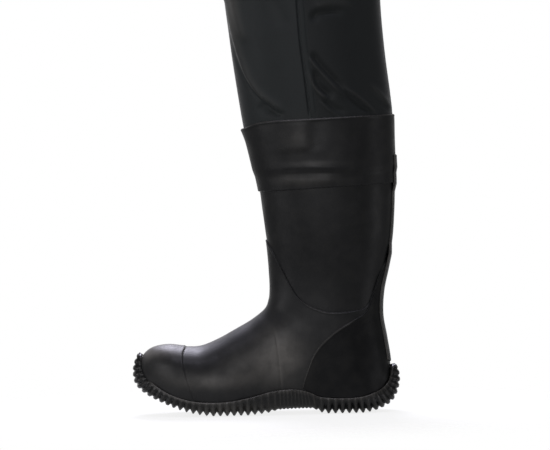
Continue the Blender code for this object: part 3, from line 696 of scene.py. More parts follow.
def welded(points, faces):
    """Joins points that coincide, and drops the faces that this closes up.

    Gives the kept points, the faces in terms of them, and each face's old corners.
    """
    rounded = np.round(points, 4) + 0.0
    _, first, index = np.unique(rounded, axis=0, return_index=True, return_inverse=True)
    index = index.ravel()
    kept, corners = [], []
    for face in faces:
        merged = {int(index[k]): k for k in face}
        if len(merged) > 2:
            kept.append(list(merged))
            corners.append(list(merged.values()))
    return first, kept, corners


def grid_faces(rows, columns, offset=0):
    """Faces of a grid of points, seen from outside the skin."""
    faces = []
    for i in range(rows - 1):
        for j in range(columns - 1):
            a = offset + i * columns + j
            faces.append((a, a + columns, a + columns + 1, a + 1))
    return faces


def ring_faces(rows, columns):
    """Faces of a tube whose rows of points each close on themselves."""
    faces = []
    for i in range(rows - 1):
        for j in range(columns):
            a, b = i * columns + j, i * columns + (j + 1) % columns
            faces.append((a, b, b + columns, a + columns))
    return faces


def placed_highlight(points):
    """How much bloom the patches put on points of the skin."""
    x, z = points[..., 0], points[..., 2]
    return sum(
        patch.amount * hump(x - patch.x, patch.wide) * hump(z - patch.z, patch.tall)
        for patch in PAINTED_HIGHLIGHT_PATCHES
    )


def set_layer(mesh, name, values):
    """Number or vector for each point of a mesh, kept under a name."""
    values = np.asarray(values, np.float32)
    kind, field = ("FLOAT_VECTOR", "vector") if values.ndim > 1 else ("FLOAT", "value")
    mesh.attributes.new(name, kind, "POINT").data.foreach_set(field, values.ravel())


def add_piece(name, points, faces, materials=(), edges=()):
    """Mesh object in the scene, from points in millimetres."""
    mesh = bpy.data.meshes.new(name)
    mesh.from_pydata((np.asarray(points) * MM).tolist(), edges, faces)
    for material in materials:
        mesh.materials.append(material)
    mesh.shade_smooth()
    piece = bpy.data.objects.new(name, mesh)
    bpy.context.scene.collection.objects.link(piece)
    return piece


def add_tube(name, rows, material):
    """Closed piece from rows of points that run round it, and the numbers of the points kept."""
    points = rows.reshape(-1, 3)
    first, faces, _ = welded(points, ring_faces(*rows.shape[:2]))
    return add_piece(name, points[first], faces, [material]), first


def add_shell(name, blocks, materials):
    """Closed wall between two heights over the skin, with a rim along every open edge.

    A block is a grid of section numbers, reaches, outer heights, inner heights and the painted
    highlight along edges; the patches of painted highlight are added to it. The second material,
    where there is one, is that of the inside. The faces carry a cloth map in millimetres: round
    the leg, and up it.
    """
    outer, inner, faces, cloth, highlight_and_bloom = [], [], [], [], []
    count = 0
    for numbers, reaches, high, low, painted_highlight in blocks:
        highlight_and_bloom.append(np.ravel(painted_highlight + placed_highlight(skin(numbers, reaches))))
        outer.append(lift(numbers, reaches, high).reshape(-1, 3))
        inner.append(lift(numbers, reaches, low).reshape(-1, 3))
        around = np.broadcast_to(reaches, numbers.shape) * HALF_GIRTH
        cloth.append(np.stack([around, skin(numbers, reaches)[..., 2]], axis=-1).reshape(-1, 2))
        faces += grid_faces(*numbers.shape, count)
        count += numbers.size
    outer, inner, cloth = np.vstack(outer), np.vstack(inner), np.vstack(cloth)
    first, faces, corners = welded(outer, faces)
    size = len(first)
    edges = {}
    for face, old in zip(faces, corners):
        for a, b, old_a, old_b in zip(face, face[1:] + face[:1], old, old[1:] + old[:1]):
            edges[a, b] = (old_a, old_b)
    rim, rim_corners = [], []
    for (a, b), (old_a, old_b) in edges.items():
        if (b, a) not in edges:
            rim.append([b, a, a + size, b + size])
            rim_corners.append([old_b, old_a, old_a, old_b])
    inside = [[k + size for k in reversed(face)] for face in faces]
    inside_corners = [old[::-1] for old in corners]
    points = np.vstack([outer[first], inner[first]])
    piece = add_piece(name, points, faces + rim + inside, materials)
    mesh = piece.data
    set_layer(mesh, "highlight_and_bloom", np.tile(np.concatenate(highlight_and_bloom)[first], 2))
    if len(materials) > 1:
        lined = np.zeros(len(mesh.polygons), np.int32)
        lined[len(faces) + len(rim) :] = 1
        mesh.polygons.foreach_set("material_index", lined)
    order = [k for old in corners + rim_corners + inside_corners for k in old]
    mesh.uv_layers.new(name="cloth").data.foreach_set("uv", cloth[order].ravel())
    return piece


def finish_piece(piece, slot, *nodes):
    """Seats a piece on the boot in place of its plain solids."""
    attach(piece, BODY)
    if nodes:
        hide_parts(*nodes)


def evaluated(piece):
    """Turns a piece with live modifiers into a plain mesh."""
    graph = bpy.context.evaluated_depsgraph_get()
    mesh = bpy.data.meshes.new_from_object(piece.evaluated_get(graph))
    piece.modifiers.clear()
    piece.data = mesh
    return mesh


def add_node(tree, kind, inputs=(), output=0, to=None, **settings):
    """Adds a node, sets it up, and fills its inputs with values or links.

    Gives one of its outputs, and links that to a socket where to names one.
    """
    node = tree.nodes.new(kind)
    for key, value in settings.items():
        setattr(node, key, value)
    for key, value in dict(inputs).items():
        if isinstance(value, bpy.types.NodeSocket):
            tree.links.new(value, node.inputs[key])
        else:
            node.inputs[key].default_value = value
    if to is not None:
        tree.links.new(node.outputs[output], to)
    return node.outputs[output] if node.outputs else None


def new_material(name, roughness, specular=0.5):
    """Principled material, its tree and the inputs of its shader."""
    material = bpy.data.materials.new(name)
    material.use_nodes = True
    surface = material.node_tree.nodes["Principled BSDF"].inputs
    surface["Roughness"].default_value = roughness
    surface["Specular IOR Level"].default_value = specular
    return material, material.node_tree, surface


def per_metre(millimetres):
    """Scale of a noise whose grains have a size."""
    return 1.0 / (millimetres * MM)


def dress(tree, surface, share, tones, relief=None, strength=0.0, millimetres=0.0):
    """Colours a surface between two tones by a share, and gives it a relief of a depth."""
    mix = {0: share, 6: tones[0], 7: tones[1]}
    add_node(tree, "ShaderNodeMix", mix, 2, surface["Base Color"], data_type="RGBA")
    if relief is not None:
        bump = {"Height": relief, "Strength": strength, "Distance": millimetres * MM}
        add_node(tree, "ShaderNodeBump", bump, to=surface["Normal"])


def moulded_rubber(colours):
    """Black rubber cured in a mould: a fine pebbled skin with a soft sheen, a faint dull bloom, and
    painted highlights in patches and along edges.
    """
    return rubber_skin("moulded black rubber", colours.rubber, colours.highlight_and_bloom)


def shaded_counter_rubber(colours):
    """The same rubber in a darker tone, as painted shade on the heel overlay."""
    return rubber_skin("counter rubber in painted shade", colours.counter, colours.highlight_and_bloom, 0.27)


def rubber_skin(name, base, highlight_and_bloom_tone, specular=0.5):
    """Rubber with a pebbled skin, in a base tone and a lighter tone for painted highlights and a faint
    random bloom.

    The real pebbles are under half a millimetre; they are drawn at 1.5 mm so that they show.
    """
    material, tree, surface = new_material(name, 0.44, specular)
    place = add_node(tree, "ShaderNodeTexCoord", output="Object")
    patches, handling, pebbles = (
        add_node(tree, "ShaderNodeTexNoise", {"Vector": place, "Scale": per_metre(size), "Detail": detail})
        for size, detail in ((14.0, 6.0), (18.0, 4.0), (1.5, 2.0))
    )
    uneven = add_node(tree, "ShaderNodeMapRange", {0: patches, 1: 0.4, 2: 0.7, 3: 0.0, 4: 0.05})
    patchy = add_node(tree, "ShaderNodeMapRange", {0: patches, 1: 0.3, 2: 0.6, 3: 0.7, 4: 1.1})
    # Painted highlight from the attribute, made patchy by noise; a second noise adds a faint random bloom
    placed = add_node(tree, "ShaderNodeAttribute", output="Fac", attribute_name="highlight_and_bloom")
    layers = {0: placed, 1: patchy, 2: uneven}
    highlight_and_bloom = add_node(tree, "ShaderNodeMath", layers, operation="MULTIPLY_ADD", use_clamp=True)
    gloss = {0: handling, 1: 0.3, 2: 0.7, 3: 0.4, 4: 0.52}
    add_node(tree, "ShaderNodeMapRange", gloss, to=surface["Roughness"])
    dress(tree, surface, highlight_and_bloom, (base, highlight_and_bloom_tone), pebbles, 0.5, 0.15)
    return material


def tread_rubber(colours):
    """Harder black rubber of the sole: smooth from the mould, so its edges catch the light; painted
    highlights lie on its tooth ridges and lip.
    """
    material, tree, surface = new_material("hard tread rubber", 0.3)
    place = add_node(tree, "ShaderNodeTexCoord", output="Object")
    wear, grit = (
        add_node(tree, "ShaderNodeTexNoise", {"Vector": place, "Scale": per_metre(size), "Detail": detail})
        for size, detail in ((9.0, 4.0), (1.8, 2.0))
    )
    gloss = {0: wear, 1: 0.3, 2: 0.7, 3: 0.22, 4: 0.36}
    add_node(tree, "ShaderNodeMapRange", gloss, to=surface["Roughness"])
    # Painted highlight on the ridges and the lip, made patchy by the noise
    painted_highlight = add_node(tree, "ShaderNodeAttribute", output="Fac", attribute_name="highlight_and_bloom")
    highlight_share = add_node(tree, "ShaderNodeMath", {0: painted_highlight, 1: wear}, operation="MULTIPLY")
    dress(tree, surface, highlight_share, (colours.tread, colours.highlight_and_bloom), grit, 0.5, 0.4)
    return material


def weave_height(tree, pitch):
    """Height of a plain weave on the cloth map, with a thread pitch in millimetres."""
    cloth = add_node(tree, "ShaderNodeUVMap", uv_map="cloth")
    waves = {"Vector": cloth, "Scale": WAVE_PERIOD / pitch}
    threads = [
        add_node(tree, "ShaderNodeTexWave", waves, "Fac", bands_direction=axis) for axis in ("X", "Y")
    ]
    return add_node(tree, "ShaderNodeMath", enumerate(threads), operation="MULTIPLY")


def coated_nylon(colours):
    """Plain-weave nylon with a matt coating: even and dark, with a faint sheen and a painted highlight on
    the crests of its folds.

    The real threads lie 0.4 mm apart; they are drawn at 1.6 mm so that they show.
    """
    material, tree, surface = new_material("coated plain-weave nylon", 0.5, 0.28)
    surface["Sheen Weight"].default_value = 0.25
    surface["Sheen Roughness"].default_value = 0.35
    place = add_node(tree, "ShaderNodeTexCoord", output="Object")
    noise = {"Vector": place, "Scale": per_metre(30.0), "Detail": 4.0}
    uneven = add_node(tree, "ShaderNodeTexNoise", noise)
    spread = add_node(tree, "ShaderNodeMapRange", {0: uneven, 1: 0.3, 2: 0.7, 3: -0.2, 4: 0.2})
    # The attribute holds the painted highlight on fold crests and in patches
    panel, painted_highlight = (
        add_node(tree, "ShaderNodeAttribute", output="Fac", attribute_name=name)
        for name in ("back_panel", "highlight_and_bloom")
    )
    share = add_node(tree, "ShaderNodeMath", {0: panel, 1: spread}, operation="ADD", use_clamp=True)
    panels = {0: share, 6: colours.nylon_front, 7: colours.nylon_back}
    cloth = add_node(tree, "ShaderNodeMix", panels, 2, data_type="RGBA")
    dress(tree, surface, painted_highlight, (cloth, colours.highlight_and_bloom), weave_height(tree, 1.6), 0.3, 0.15)
    return material


def knit_lining(colours):
    """Brushed jersey glued inside the rubber: dull, soft, with fine rows of loops."""
    material, tree, surface = new_material("brushed knit lining", 0.9, 0.2)
    loops = weave_height(tree, 1.8)
    dress(tree, surface, loops, (colours.lining, colours.felt), loops, 0.5, 0.3)
    return material


def needle_felt(colours):
    """Needled felt: matt, mottled by its fibres, with no clean highlight."""
    material, tree, surface = new_material("needle felt", 0.96, 0.15)
    place = add_node(tree, "ShaderNodeTexCoord", output="Object")
    noise = {"Vector": place, "Scale": per_metre(1.4), "Detail": 6.0, "Distortion": 1.5}
    fibres = add_node(tree, "ShaderNodeTexNoise", noise)
    dress(tree, surface, fibres, (colours.lining, colours.felt), fibres, 0.6, 0.5)
    return material


def sewing_thread(colours):
    """Bonded polyester thread: a tight twist with a slight shine."""
    material, tree, surface = new_material("polyester thread", 0.5, 0.4)
    place = add_node(tree, "ShaderNodeTexCoord", output="Object")
    waves = {"Vector": place, "Scale": per_metre(2.0)}
    twist = add_node(tree, "ShaderNodeTexWave", waves, "Fac", bands_direction="DIAGONAL")
    dress(tree, surface, twist, (colours.thread, colours.nylon_front))
    return material


@cache
def material_for(make):
    """Material from its maker, made once and then shared."""
    return make(bpy.context.scene.wader_colours)


def columns_of(count):
    """Reaches of the columns of a grid all round the skin."""
    return np.linspace(-1.0, 1.0, count + 1)


def upper_grid(reach, sizes, density=1.0):
    """Rows of the upper from the toe to the collar: section numbers, outer heights and painted highlight.
    """
    edges = [edge_numbers(points, reach) for points in (TOE_CAP_EDGE, VAMP_LINE, FOXING_EDGE)]
    scales = [section_length(edge, reach) for edge in edges]
    rows = []
    start = np.zeros_like(reach)
    for edge, scale, count in zip(edges, scales, UPPER_ROWS):
        near = [edge + step / scale for step in EDGE_STEPS]
        rows += band(start, near[0], int(count * density))[:-1] + near[:-1]
        start = near[-1]
    rows += band(start, np.full_like(reach, SHAFT_TOP), int(UPPER_ROWS[-1] * density))
    numbers = np.array(rows)
    points = skin(numbers, reach)
    cap, vamp, foxing = ((numbers - edge) * scale for edge, scale in zip(edges, scales))
    line = between(points[..., 2], *VAMP_STRETCH)
    arc = between(points[..., 0], *U_LINE_STRETCH)
    heights = ledge(cap, sizes.toe_cap, sizes.bead, sizes.groove, CAP_SPREAD)
    heights += ledge(foxing, sizes.foxing, sizes.bead, sizes.groove)
    heights += line * ledge(vamp, 0.0, VAMP_BEAD, VAMP_GROOVE, VAMP_SPREAD)
    heights += fold_height(RUBBER_CREASES, points, reach)
    # Painted highlight along the U line and beside the vamp line
    painted_highlight = U_LINE_HIGHLIGHT * arc * stripe(foxing, *U_LINE_HIGHLIGHT_STRIPE)
    painted_highlight += VAMP_HIGHLIGHT * line * stripe(vamp, *VAMP_HIGHLIGHT_STRIPE)
    return numbers, heights, painted_highlight


def foot_form(sizes):
    """Filled form of the foot, a gap larger than the upper, that hollows the outsole."""
    reach = columns_of(FORM_COLUMNS)
    numbers, heights, _ = upper_grid(reach, sizes, FORM_DENSITY)
    rows = numbers.min(axis=1) < FORM_TOP
    numbers, heights = numbers[rows], heights[rows]
    points = lift(numbers, reach, heights + sizes.gap)
    section = section_at(numbers[:, [0, -1]])
    chord = section[..., 2:4] - section[..., 0:2]
    chord /= np.linalg.norm(chord, axis=-1, keepdims=True)
    points[:, [0, -1], 0] += chord[..., 0] * sizes.gap
    points[:, [0, -1], 2] += chord[..., 1] * sizes.gap
    count, columns, _ = points.shape
    faces = grid_faces(count, columns)
    top = (count - 1) * columns
    faces += [(top + j, count * columns, top + j + 1) for j in range(columns - 1)]
    for i in range(count - 1):
        a = i * columns
        faces.append((a, a + columns - 1, a + 2 * columns - 1, a + columns))
    points = np.vstack([points.reshape(-1, 3), points[-1].mean(axis=0)])
    first, faces, _ = welded(points, faces)
    return add_piece("foot_form", points[first], faces)


def bumper_share(number):
    """1 on the toe and heel bumpers, whose teeth a notch parts in two rows, and 0 between."""
    return smooth(TOE_BUMPER_END - number) + smooth(number - HEEL_BUMPER_START)


def sole_row(number, share):
    """Points of one sole section, from the outer rand edge round the bottom to the inner one,
    and last the middle of the deck between the two edges."""
    tip_x, tip_z, rand_x, rand_z, lateral, medial, flat, tooth = through(SOLE_SECTIONS, number)
    flat = max(flat, 0.0)
    tip = np.array([tip_x, max(tip_z, 0.0)])
    inward = np.array([rand_x, rand_z]) - tip
    depth = np.linalg.norm(inward)
    inward /= depth
    valley = tooth * share * (1.0 - BUMPER_VALLEY_LOSS * bumper_share(number))
    angle = np.linspace(0.0, math.pi / 2, CORNER_STEPS + 1)
    wide = flat + (1.0 - flat) * np.cos(angle) ** CORNER_POWER
    wide[-1] = flat
    deep = valley + (depth - valley) * (1.0 - np.sin(angle) ** CORNER_POWER)
    rib = RIB_SHARE * valley * smooth((depth - deep) / LEDGE_HEIGHT)
    rib = rib + NOTCH * hump((depth - deep) / depth - 0.5, NOTCH_WIDTH) * bumper_share(number)
    lip = np.linspace(0.0, math.pi / 2, LIP_STEPS + 1)[:-1]
    lip_in = LIP_ROUND * (1.0 - np.sin(lip))
    lip_up = LIP_ROUND * np.cos(lip) * min(1.0, lateral / LIP_FULL_WIDTH)
    outer, inner = (
        np.maximum(np.concatenate([half - lip_in, np.maximum(half - rib, 0.0) * wide]), 0.0)
        for half in (lateral, medial)
    )
    deep = np.concatenate([depth + lip_up, deep])
    y = np.concatenate([-outer, inner[::-1], [0.0]])
    d = np.concatenate([deep, deep[::-1], [depth + DECK_CROWN]])
    x = tip[0] + inward[0] * d
    return np.stack([x, y + swing(x), tip[1] + inward[1] * d], axis=-1)


def tread_rows():
    """Rows of the tread: sole section number, phase in the tooth, and height over the floor."""
    numbers = np.linspace(0.0, SOLE_END, CURVE_POINTS)
    curve = through(SOLE_SECTIONS, numbers)[:, 0:2]
    steps = np.linalg.norm(np.diff(curve, axis=0), axis=1)
    travel = np.concatenate([[0.0], np.cumsum(steps)])
    places, phases = [], []
    for zone in TREAD:
        start, end = np.interp([zone.start, zone.end], numbers, travel)
        rows = round((end - start) / zone.pitch) * TOOTH_ROWS
        places += [start + (end - start) * k / rows for k in range(rows)]
        phases += [k / TOOTH_ROWS for k in range(rows)]
    places.append(travel[-1])
    phases.append(0.0)
    return np.interp(places, travel, numbers), phases, np.interp(places, travel, curve[:, 1])


def geometry_tree(name, *sizes):
    """Node tree for a mesh, with inputs named for its sizes, and the sockets of those inputs."""
    tree = bpy.data.node_groups.new(name, "GeometryNodeTree")
    tree.interface.new_socket("Geometry", in_out="INPUT", socket_type="NodeSocketGeometry")
    for size in sizes:
        tree.interface.new_socket(size, in_out="INPUT", socket_type="NodeSocketFloat")
    tree.interface.new_socket("Geometry", in_out="OUTPUT", socket_type="NodeSocketGeometry")
    return tree, tree.nodes.new("NodeGroupInput").outputs


def close_tree(tree, geometry, material):
    """Ends a node tree: its instances are made real and get a material."""
    real = add_node(tree, "GeometryNodeRealizeInstances", {0: geometry})
    coated = add_node(tree, "GeometryNodeSetMaterial", {0: real, "Material": material})
    add_node(tree, "NodeGroupOutput", {0: coated})


def tread_tree(material):
    """Node tree that cuts saw teeth: each point moves by its cut, as far as its phase says."""
    tree, given = geometry_tree("saw_tooth_tread", "Rounding")
    phase, land, cut = (
        add_node(tree, "GeometryNodeInputNamedAttribute", {"Name": name}, data_type=kind)
        for name, kind in (("phase", "FLOAT"), ("land", "FLOAT"), ("cut", "FLOAT_VECTOR"))
    )
    share = add_node(tree, "ShaderNodeMath", {0: phase, 1: 0.0, 2: 1.0}, operation="WRAP")
    middle = add_node(tree, "ShaderNodeMath", {0: share, 1: 0.5}, operation="SUBTRACT")
    slope = add_node(tree, "ShaderNodeMath", {0: middle}, operation="ABSOLUTE")
    half_land = add_node(tree, "ShaderNodeMath", {0: land, 1: 0.5}, operation="MULTIPLY")
    sharp, soft = (
        add_node(tree, "ShaderNodeMapRange", {0: slope, 1: half_land, 2: 0.5}, interpolation_type=kind)
        for kind in ("LINEAR", "SMOOTHSTEP")
    )
    shape = add_node(tree, "ShaderNodeMix", {0: given["Rounding"], 2: sharp, 3: soft})
    offset = add_node(tree, "ShaderNodeVectorMath", {0: cut, "Scale": shape}, operation="SCALE")
    moved = add_node(tree, "GeometryNodeSetPosition", {0: given["Geometry"], "Offset": offset})
    close_tree(tree, moved, material)
    return tree


def stitch_tree(material):
    """Node tree that lays stitches along a line, each turned to run with it."""
    tree, given = geometry_tree("stitches", "Pitch", "Stitch", "Thread")
    line = add_node(tree, "GeometryNodeMeshToCurve", {"Mesh": given["Geometry"]})
    steps = {"Curve": line, "Length": given["Pitch"]}
    points = add_node(tree, "GeometryNodeResampleCurve", steps, mode="LENGTH")
    along = add_node(tree, "GeometryNodeInputTangent")
    turned = add_node(tree, "FunctionNodeAlignRotationToVector", {"Vector": along}, axis="Z")
    radius = add_node(tree, "ShaderNodeMath", {0: given["Thread"], 1: 0.5}, operation="MULTIPLY")
    ball = {"Segments": 6, "Rings": 5, "Radius": radius}
    stitch = add_node(tree, "GeometryNodeMeshUVSphere", ball)
    slim = add_node(tree, "ShaderNodeMath", {0: given["Stitch"], 1: given["Thread"]}, operation="DIVIDE")
    stretch = add_node(tree, "ShaderNodeCombineXYZ", {0: 1.0, 1: 1.0, 2: slim})
    laid = add_node(
        tree,
        "GeometryNodeInstanceOnPoints",
        {"Points": points, "Instance": stitch, "Rotation": turned, "Scale": stretch},
    )
    close_tree(tree, laid, material)
    return tree


def use_tree(piece, tree, **values):
    """Puts a node tree on a piece, sets its inputs, and keeps the plain mesh that it gives."""
    nodes = piece.modifiers.new(tree.name, "NODES")
    nodes.node_group = tree
    for item in tree.interface.items_tree:
        if item.in_out == "INPUT" and item.name in values:
            nodes[item.identifier] = values[item.name]
    return evaluated(piece)


class WADER_OT_outsole(Operator):
    """Make the saw-toothed outsole and hollow it for the foot"""

    bl_idname = "wader.outsole"
    bl_label = "Outsole"

    def execute(self, context):
        rows, phases, heights = tread_rows()
        tips = np.array([sole_row(row, 0.0) for row in rows])
        cuts = np.array([sole_row(row, 1.0) for row in rows]) - tips
        lands = np.where(heights < FLOOR_TOUCH, FLOOR_LAND, SHARP_LAND)
        lands += BUMPER_LAND * bumper_share(rows)
        rubber = material_for(tread_rubber)
        sole, first = add_tube("outsole_rubber", tips, rubber)
        columns = tips.shape[1]
        set_layer(sole.data, "phase", np.repeat(phases, columns)[first])
        set_layer(sole.data, "land", np.repeat(lands, columns)[first])
        set_layer(sole.data, "highlight_and_bloom", self.sole_highlights(tips, phases).ravel()[first])
        set_layer(sole.data, "cut", cuts.reshape(-1, 3)[first] * MM)
        use_tree(sole, tread_tree(rubber), Rounding=TOOTH_ROUNDING)
        form = foot_form(in_mm(context.scene.wader_sizes))
        hollow = sole.modifiers.new("foot", "BOOLEAN")
        hollow.operation = "DIFFERENCE"
        hollow.object = form
        mesh = evaluated(sole)
        bpy.data.objects.remove(form)
        for name in ("phase", "land", "cut"):
            mesh.attributes.remove(mesh.attributes[name])
        mesh.shade_smooth()
        mesh.set_sharp_from_angle(angle=SOLE_SHARP_ANGLE)
        finish_piece(sole, "tread_rubber", "outsole")
        return {"FINISHED"}

    def sole_highlights(self, tips, phases):
        """Painted highlight on the ridges of the teeth and on the lip, most of it beside the toe cap, and
        in patches.
        """
        lip = np.zeros(tips.shape[1])
        lip[: len(LIP_HIGHLIGHT)] = LIP_HIGHLIGHT
        lip[-1 - len(LIP_HIGHLIGHT) : -1] = LIP_HIGHLIGHT[::-1]
        toe = 1.0 + TOE_LIP_HIGHLIGHT * hump(tips[:, :1, 0] - TOE_LIP_X, TOE_LIP_WIDTH)
        ridges = RIDGE_HIGHLIGHT * hump(np.mod(phases, 1.0) - 0.5, RIDGE_WIDTH)
        return ridges[:, None] + lip * toe + placed_highlight(tips)


class WADER_OT_upper(Operator):
    """Make the rubber foot and shaft, lined inside"""

    bl_idname = "wader.upper"
    bl_label = "Upper"

    def execute(self, context):
        sizes = in_mm(context.scene.wader_sizes)
        reach = columns_of(COLUMNS)
        numbers, high, painted_highlight = upper_grid(reach, sizes)
        low = np.full_like(high, -sizes.wall)
        materials = [material_for(moulded_rubber), material_for(knit_lining)]
        upper = add_shell("upper_rubber", [(numbers, reach, high, low, painted_highlight)], materials)
        finish_piece(upper, "rubber", "upper")
        return {"FINISHED"}


class WADER_OT_insole(Operator):
    """Make the felt footbed in the foot of the boot"""

    bl_idname = "wader.insole"
    bl_label = "Insole"

    def execute(self, context):
        sizes = in_mm(context.scene.wader_sizes)
        numbers = np.linspace(INSOLE_START, INSOLE_END, INSOLE_ROWS)
        outer, inner = (lift(numbers, side, sizes.foxing + sizes.gap) for side in (-1.0, 1.0))
        middle_x, middle_y, middle_z = ((outer + inner) / 2).T[..., None]
        from_middle = np.abs(np.linspace(-1.0, 1.0, INSOLE_ROWS))
        half = (inner[:, 1] - outer[:, 1]) / 2 - INSOLE_INSET
        half = half * (1.0 - from_middle**INSOLE_END_POWER) ** 0.5
        turn = np.linspace(0.0, 2.0 * math.pi, INSOLE_COLUMNS + 1)[:-1]
        wide = bulged(np.cos(turn), INSOLE_SIDE_POWER)
        tall = (bulged(np.sin(turn), INSOLE_FACE_POWER) + 1.0) / 2
        cup = HEEL_CUP * np.abs(wide) ** HEEL_CUP_POWER * smooth((middle_x - HEEL_CUP_X) / HEEL_CUP_RUN)
        x = np.broadcast_to(middle_x, cup.shape)
        y = middle_y + half[:, None] * wide
        z = middle_z + INSOLE_LIFT + tall * (sizes.insole + cup)
        insole, _ = add_tube("insole_felt", np.stack([x, y, z], axis=-1), material_for(needle_felt))
        finish_piece(insole, "felt", "insole")
        return {"FINISHED"}


class WADER_OT_counter(Operator):
    """Make the heel overlay with its beaded arch"""

    bl_idname = "wader.counter"
    bl_label = "Counter"

    def execute(self, context):
        sizes = in_mm(context.scene.wader_sizes)
        arch = located(COUNTER_TOP, COUNTER_STATIONS)
        foot = located(COUNTER_FOOT, COUNTER_STATIONS)
        arch[1, -1] = foot[1, -1] = 1.0
        up = eased(COUNTER_ROWS)
        numbers, reach = (low + up * (high - low) for low, high in zip(foot, arch))
        tall = np.linalg.norm(skin(*arch) - skin(*foot), axis=-1)
        from_edge = np.minimum(up, 1.0 - up) * tall
        low = np.full_like(numbers, sizes.foxing + sizes.gap / 2)
        rise = sizes.counter * smooth(from_edge / COUNTER_ROUND) ** EDGE_POWER
        width = COUNTER_STRIPE[1]
        rise += sizes.bead * stripe(from_edge, *COUNTER_STRIPE) * smooth(from_edge / width)
        high = low + rise + COUNTER_RIM
        # Painted highlight along the top of the arch, fading towards its front
        fade = smooth((ARCH_END_X - skin(numbers, reach)[..., 0]) / ARCH_FADE)
        painted_highlight = ARCH_HIGHLIGHT * fade * stripe((1.0 - up) * tall, *ARCH_HIGHLIGHT_STRIPE)
        blocks = [
            (numbers[::-1], -reach[::-1], high[::-1], low[::-1], painted_highlight[::-1]),
            (numbers, reach, high, low, painted_highlight),
        ]
        # The counter's rubber is a darker copy of the rubber: painted shade
        counter = add_shell("shaded_counter_rubber", blocks, [material_for(shaded_counter_rubber)])
        finish_piece(counter, "rubber", "counter")
        return {"FINISHED"}


class WADER_OT_back_stay(Operator):
    """Make the strip up the back of the boot"""

    bl_idname = "wader.back_stay"
    bl_label = "Back stay"

    def execute(self, context):
        sizes = in_mm(context.scene.wader_sizes)
        start, peak, end = (back_number(z) for z in (STAY_BOTTOM_Z, COUNTER_PEAK_Z, STAY_TOP_Z))
        rows = np.linspace(start, end, STAY_ROWS)
        level = np.repeat(rows[:, None], STAY_COLUMNS, axis=1)
        across = np.linspace(math.pi / 2, -math.pi / 2, STAY_COLUMNS)
        y = sizes.stay_half * bulged(np.sin(across), STAY_SPREAD_POWER)
        side = np.where(y < 0.0, -1.0, 1.0)
        reach = side * self.reach_at(level, side, np.abs(y))
        inset = sizes.stay_half - np.abs(y)
        from_end = np.minimum(rows - start, end - rows)[:, None] * section_length(level, side)
        rounding = smooth(np.minimum(inset, from_end) / STAY_ROUND) ** STAY_EDGE_POWER
        bead = STAY_BEAD * stripe(inset, *STAY_STRIPE)
        beneath = np.interp(rows, *zip(*self.layers(sizes, start, peak, end)))
        low = np.broadcast_to(beneath[:, None] + STAY_CLEARANCE, level.shape)
        high = low + STAY_RIM + (sizes.stay + bead) * rounding
        # Painted highlight along the stay's edges
        painted_highlight = np.broadcast_to(STAY_HIGHLIGHT * stripe(inset, *STAY_HIGHLIGHT_STRIPE), level.shape)
        grids = (level, reach, high, low, painted_highlight)
        halves = (slice(STAY_COLUMNS // 2 + 1), slice(STAY_COLUMNS // 2, None))
        blocks = [[grid[:, half] for grid in grids] for half in halves]
        stay = add_shell("back_stay_rubber", blocks, [material_for(moulded_rubber)])
        finish_piece(stay, "rubber", "back_stay")
        return {"FINISHED"}

    def layers(self, sizes, start, peak, end):
        """Section numbers up the back, each with the height of what lies under the stay there."""
        leg_end = float(edge_numbers(LEG_EDGE, 1.0))
        on_counter = sizes.foxing + sizes.gap + sizes.counter
        on_cuff = sizes.gap + sizes.cuff
        on_leg = on_cuff + sizes.fabric + sizes.gap
        return [
            (start, on_counter),
            (peak + 0.2, on_counter),
            (peak + 0.6, 0.1),
            (CUFF_BOTTOM - 0.35, 0.1),
            (CUFF_BOTTOM - 0.05, on_cuff + 0.2),
            (leg_end - 0.40, on_cuff + 0.2),
            (leg_end - 0.12, on_leg + 0.3),
            (end, on_leg + 0.1),
        ]

    def reach_at(self, level, side, distance):
        """Reach of the points of the back that lie at a distance from the middle plane."""
        low, high = np.full_like(level, 0.5), np.ones_like(level)
        for _ in range(HALVINGS):
            middle = (low + high) / 2
            too_wide = np.abs(skin(level, side * middle)[..., 1]) > distance
            low = np.where(too_wide, middle, low)
            high = np.where(too_wide, high, middle)
        return (low + high) / 2


class WADER_OT_cuff(Operator):
    """Make the rubber band over the joint of leg and shaft"""

    bl_idname = "wader.cuff"
    bl_label = "Cuff"

    def execute(self, context):
        sizes = in_mm(context.scene.wader_sizes)
        reach = columns_of(COLUMNS)
        bottom = np.full_like(reach, CUFF_BOTTOM)
        top = edge_numbers(CUFF_TOP, reach)
        leg_edge = edge_numbers(LEG_EDGE, reach)
        share = eased(CUFF_ROWS)
        numbers = bottom + share * (top - bottom)
        tall = np.linalg.norm(skin(top, reach) - skin(bottom, reach), axis=-1)
        on_leg = smooth((numbers - leg_edge + CUFF_STEP_START) / CUFF_STEP_RUN)
        lip = np.clip((numbers - CUFF_BOTTOM - CUFF_LIP_START) / CUFF_LIP_RUN, 0.0, 1.0) ** 2
        flare = sizes.lip * lip * hump(reach, CUFF_LIP_REACH)
        low = sizes.gap + on_leg * (sizes.fabric + sizes.gap) + flare
        from_top = (1.0 - share) * tall
        from_edge = np.minimum(share * tall, from_top)
        rounding = smooth(from_edge / CUFF_ROUND) ** EDGE_POWER
        high = low + sizes.cuff * (CUFF_RIM_SHARE + (1.0 - CUFF_RIM_SHARE) * rounding)
        high += CUFF_BEAD * stripe(from_top, *CUFF_STRIPE)
        high += fold_height(CUFF_CREASES, skin(numbers, reach), reach)
        # Painted highlight along the cuff's top edge
        painted_highlight = CUFF_HIGHLIGHT * stripe(from_top, *CUFF_HIGHLIGHT_STRIPE)
        blocks = [(numbers, reach, high, low, painted_highlight)]
        cuff = add_shell("cuff_rubber", blocks, [material_for(moulded_rubber)])
        finish_piece(cuff, "rubber", "cuff")
        return {"FINISHED"}


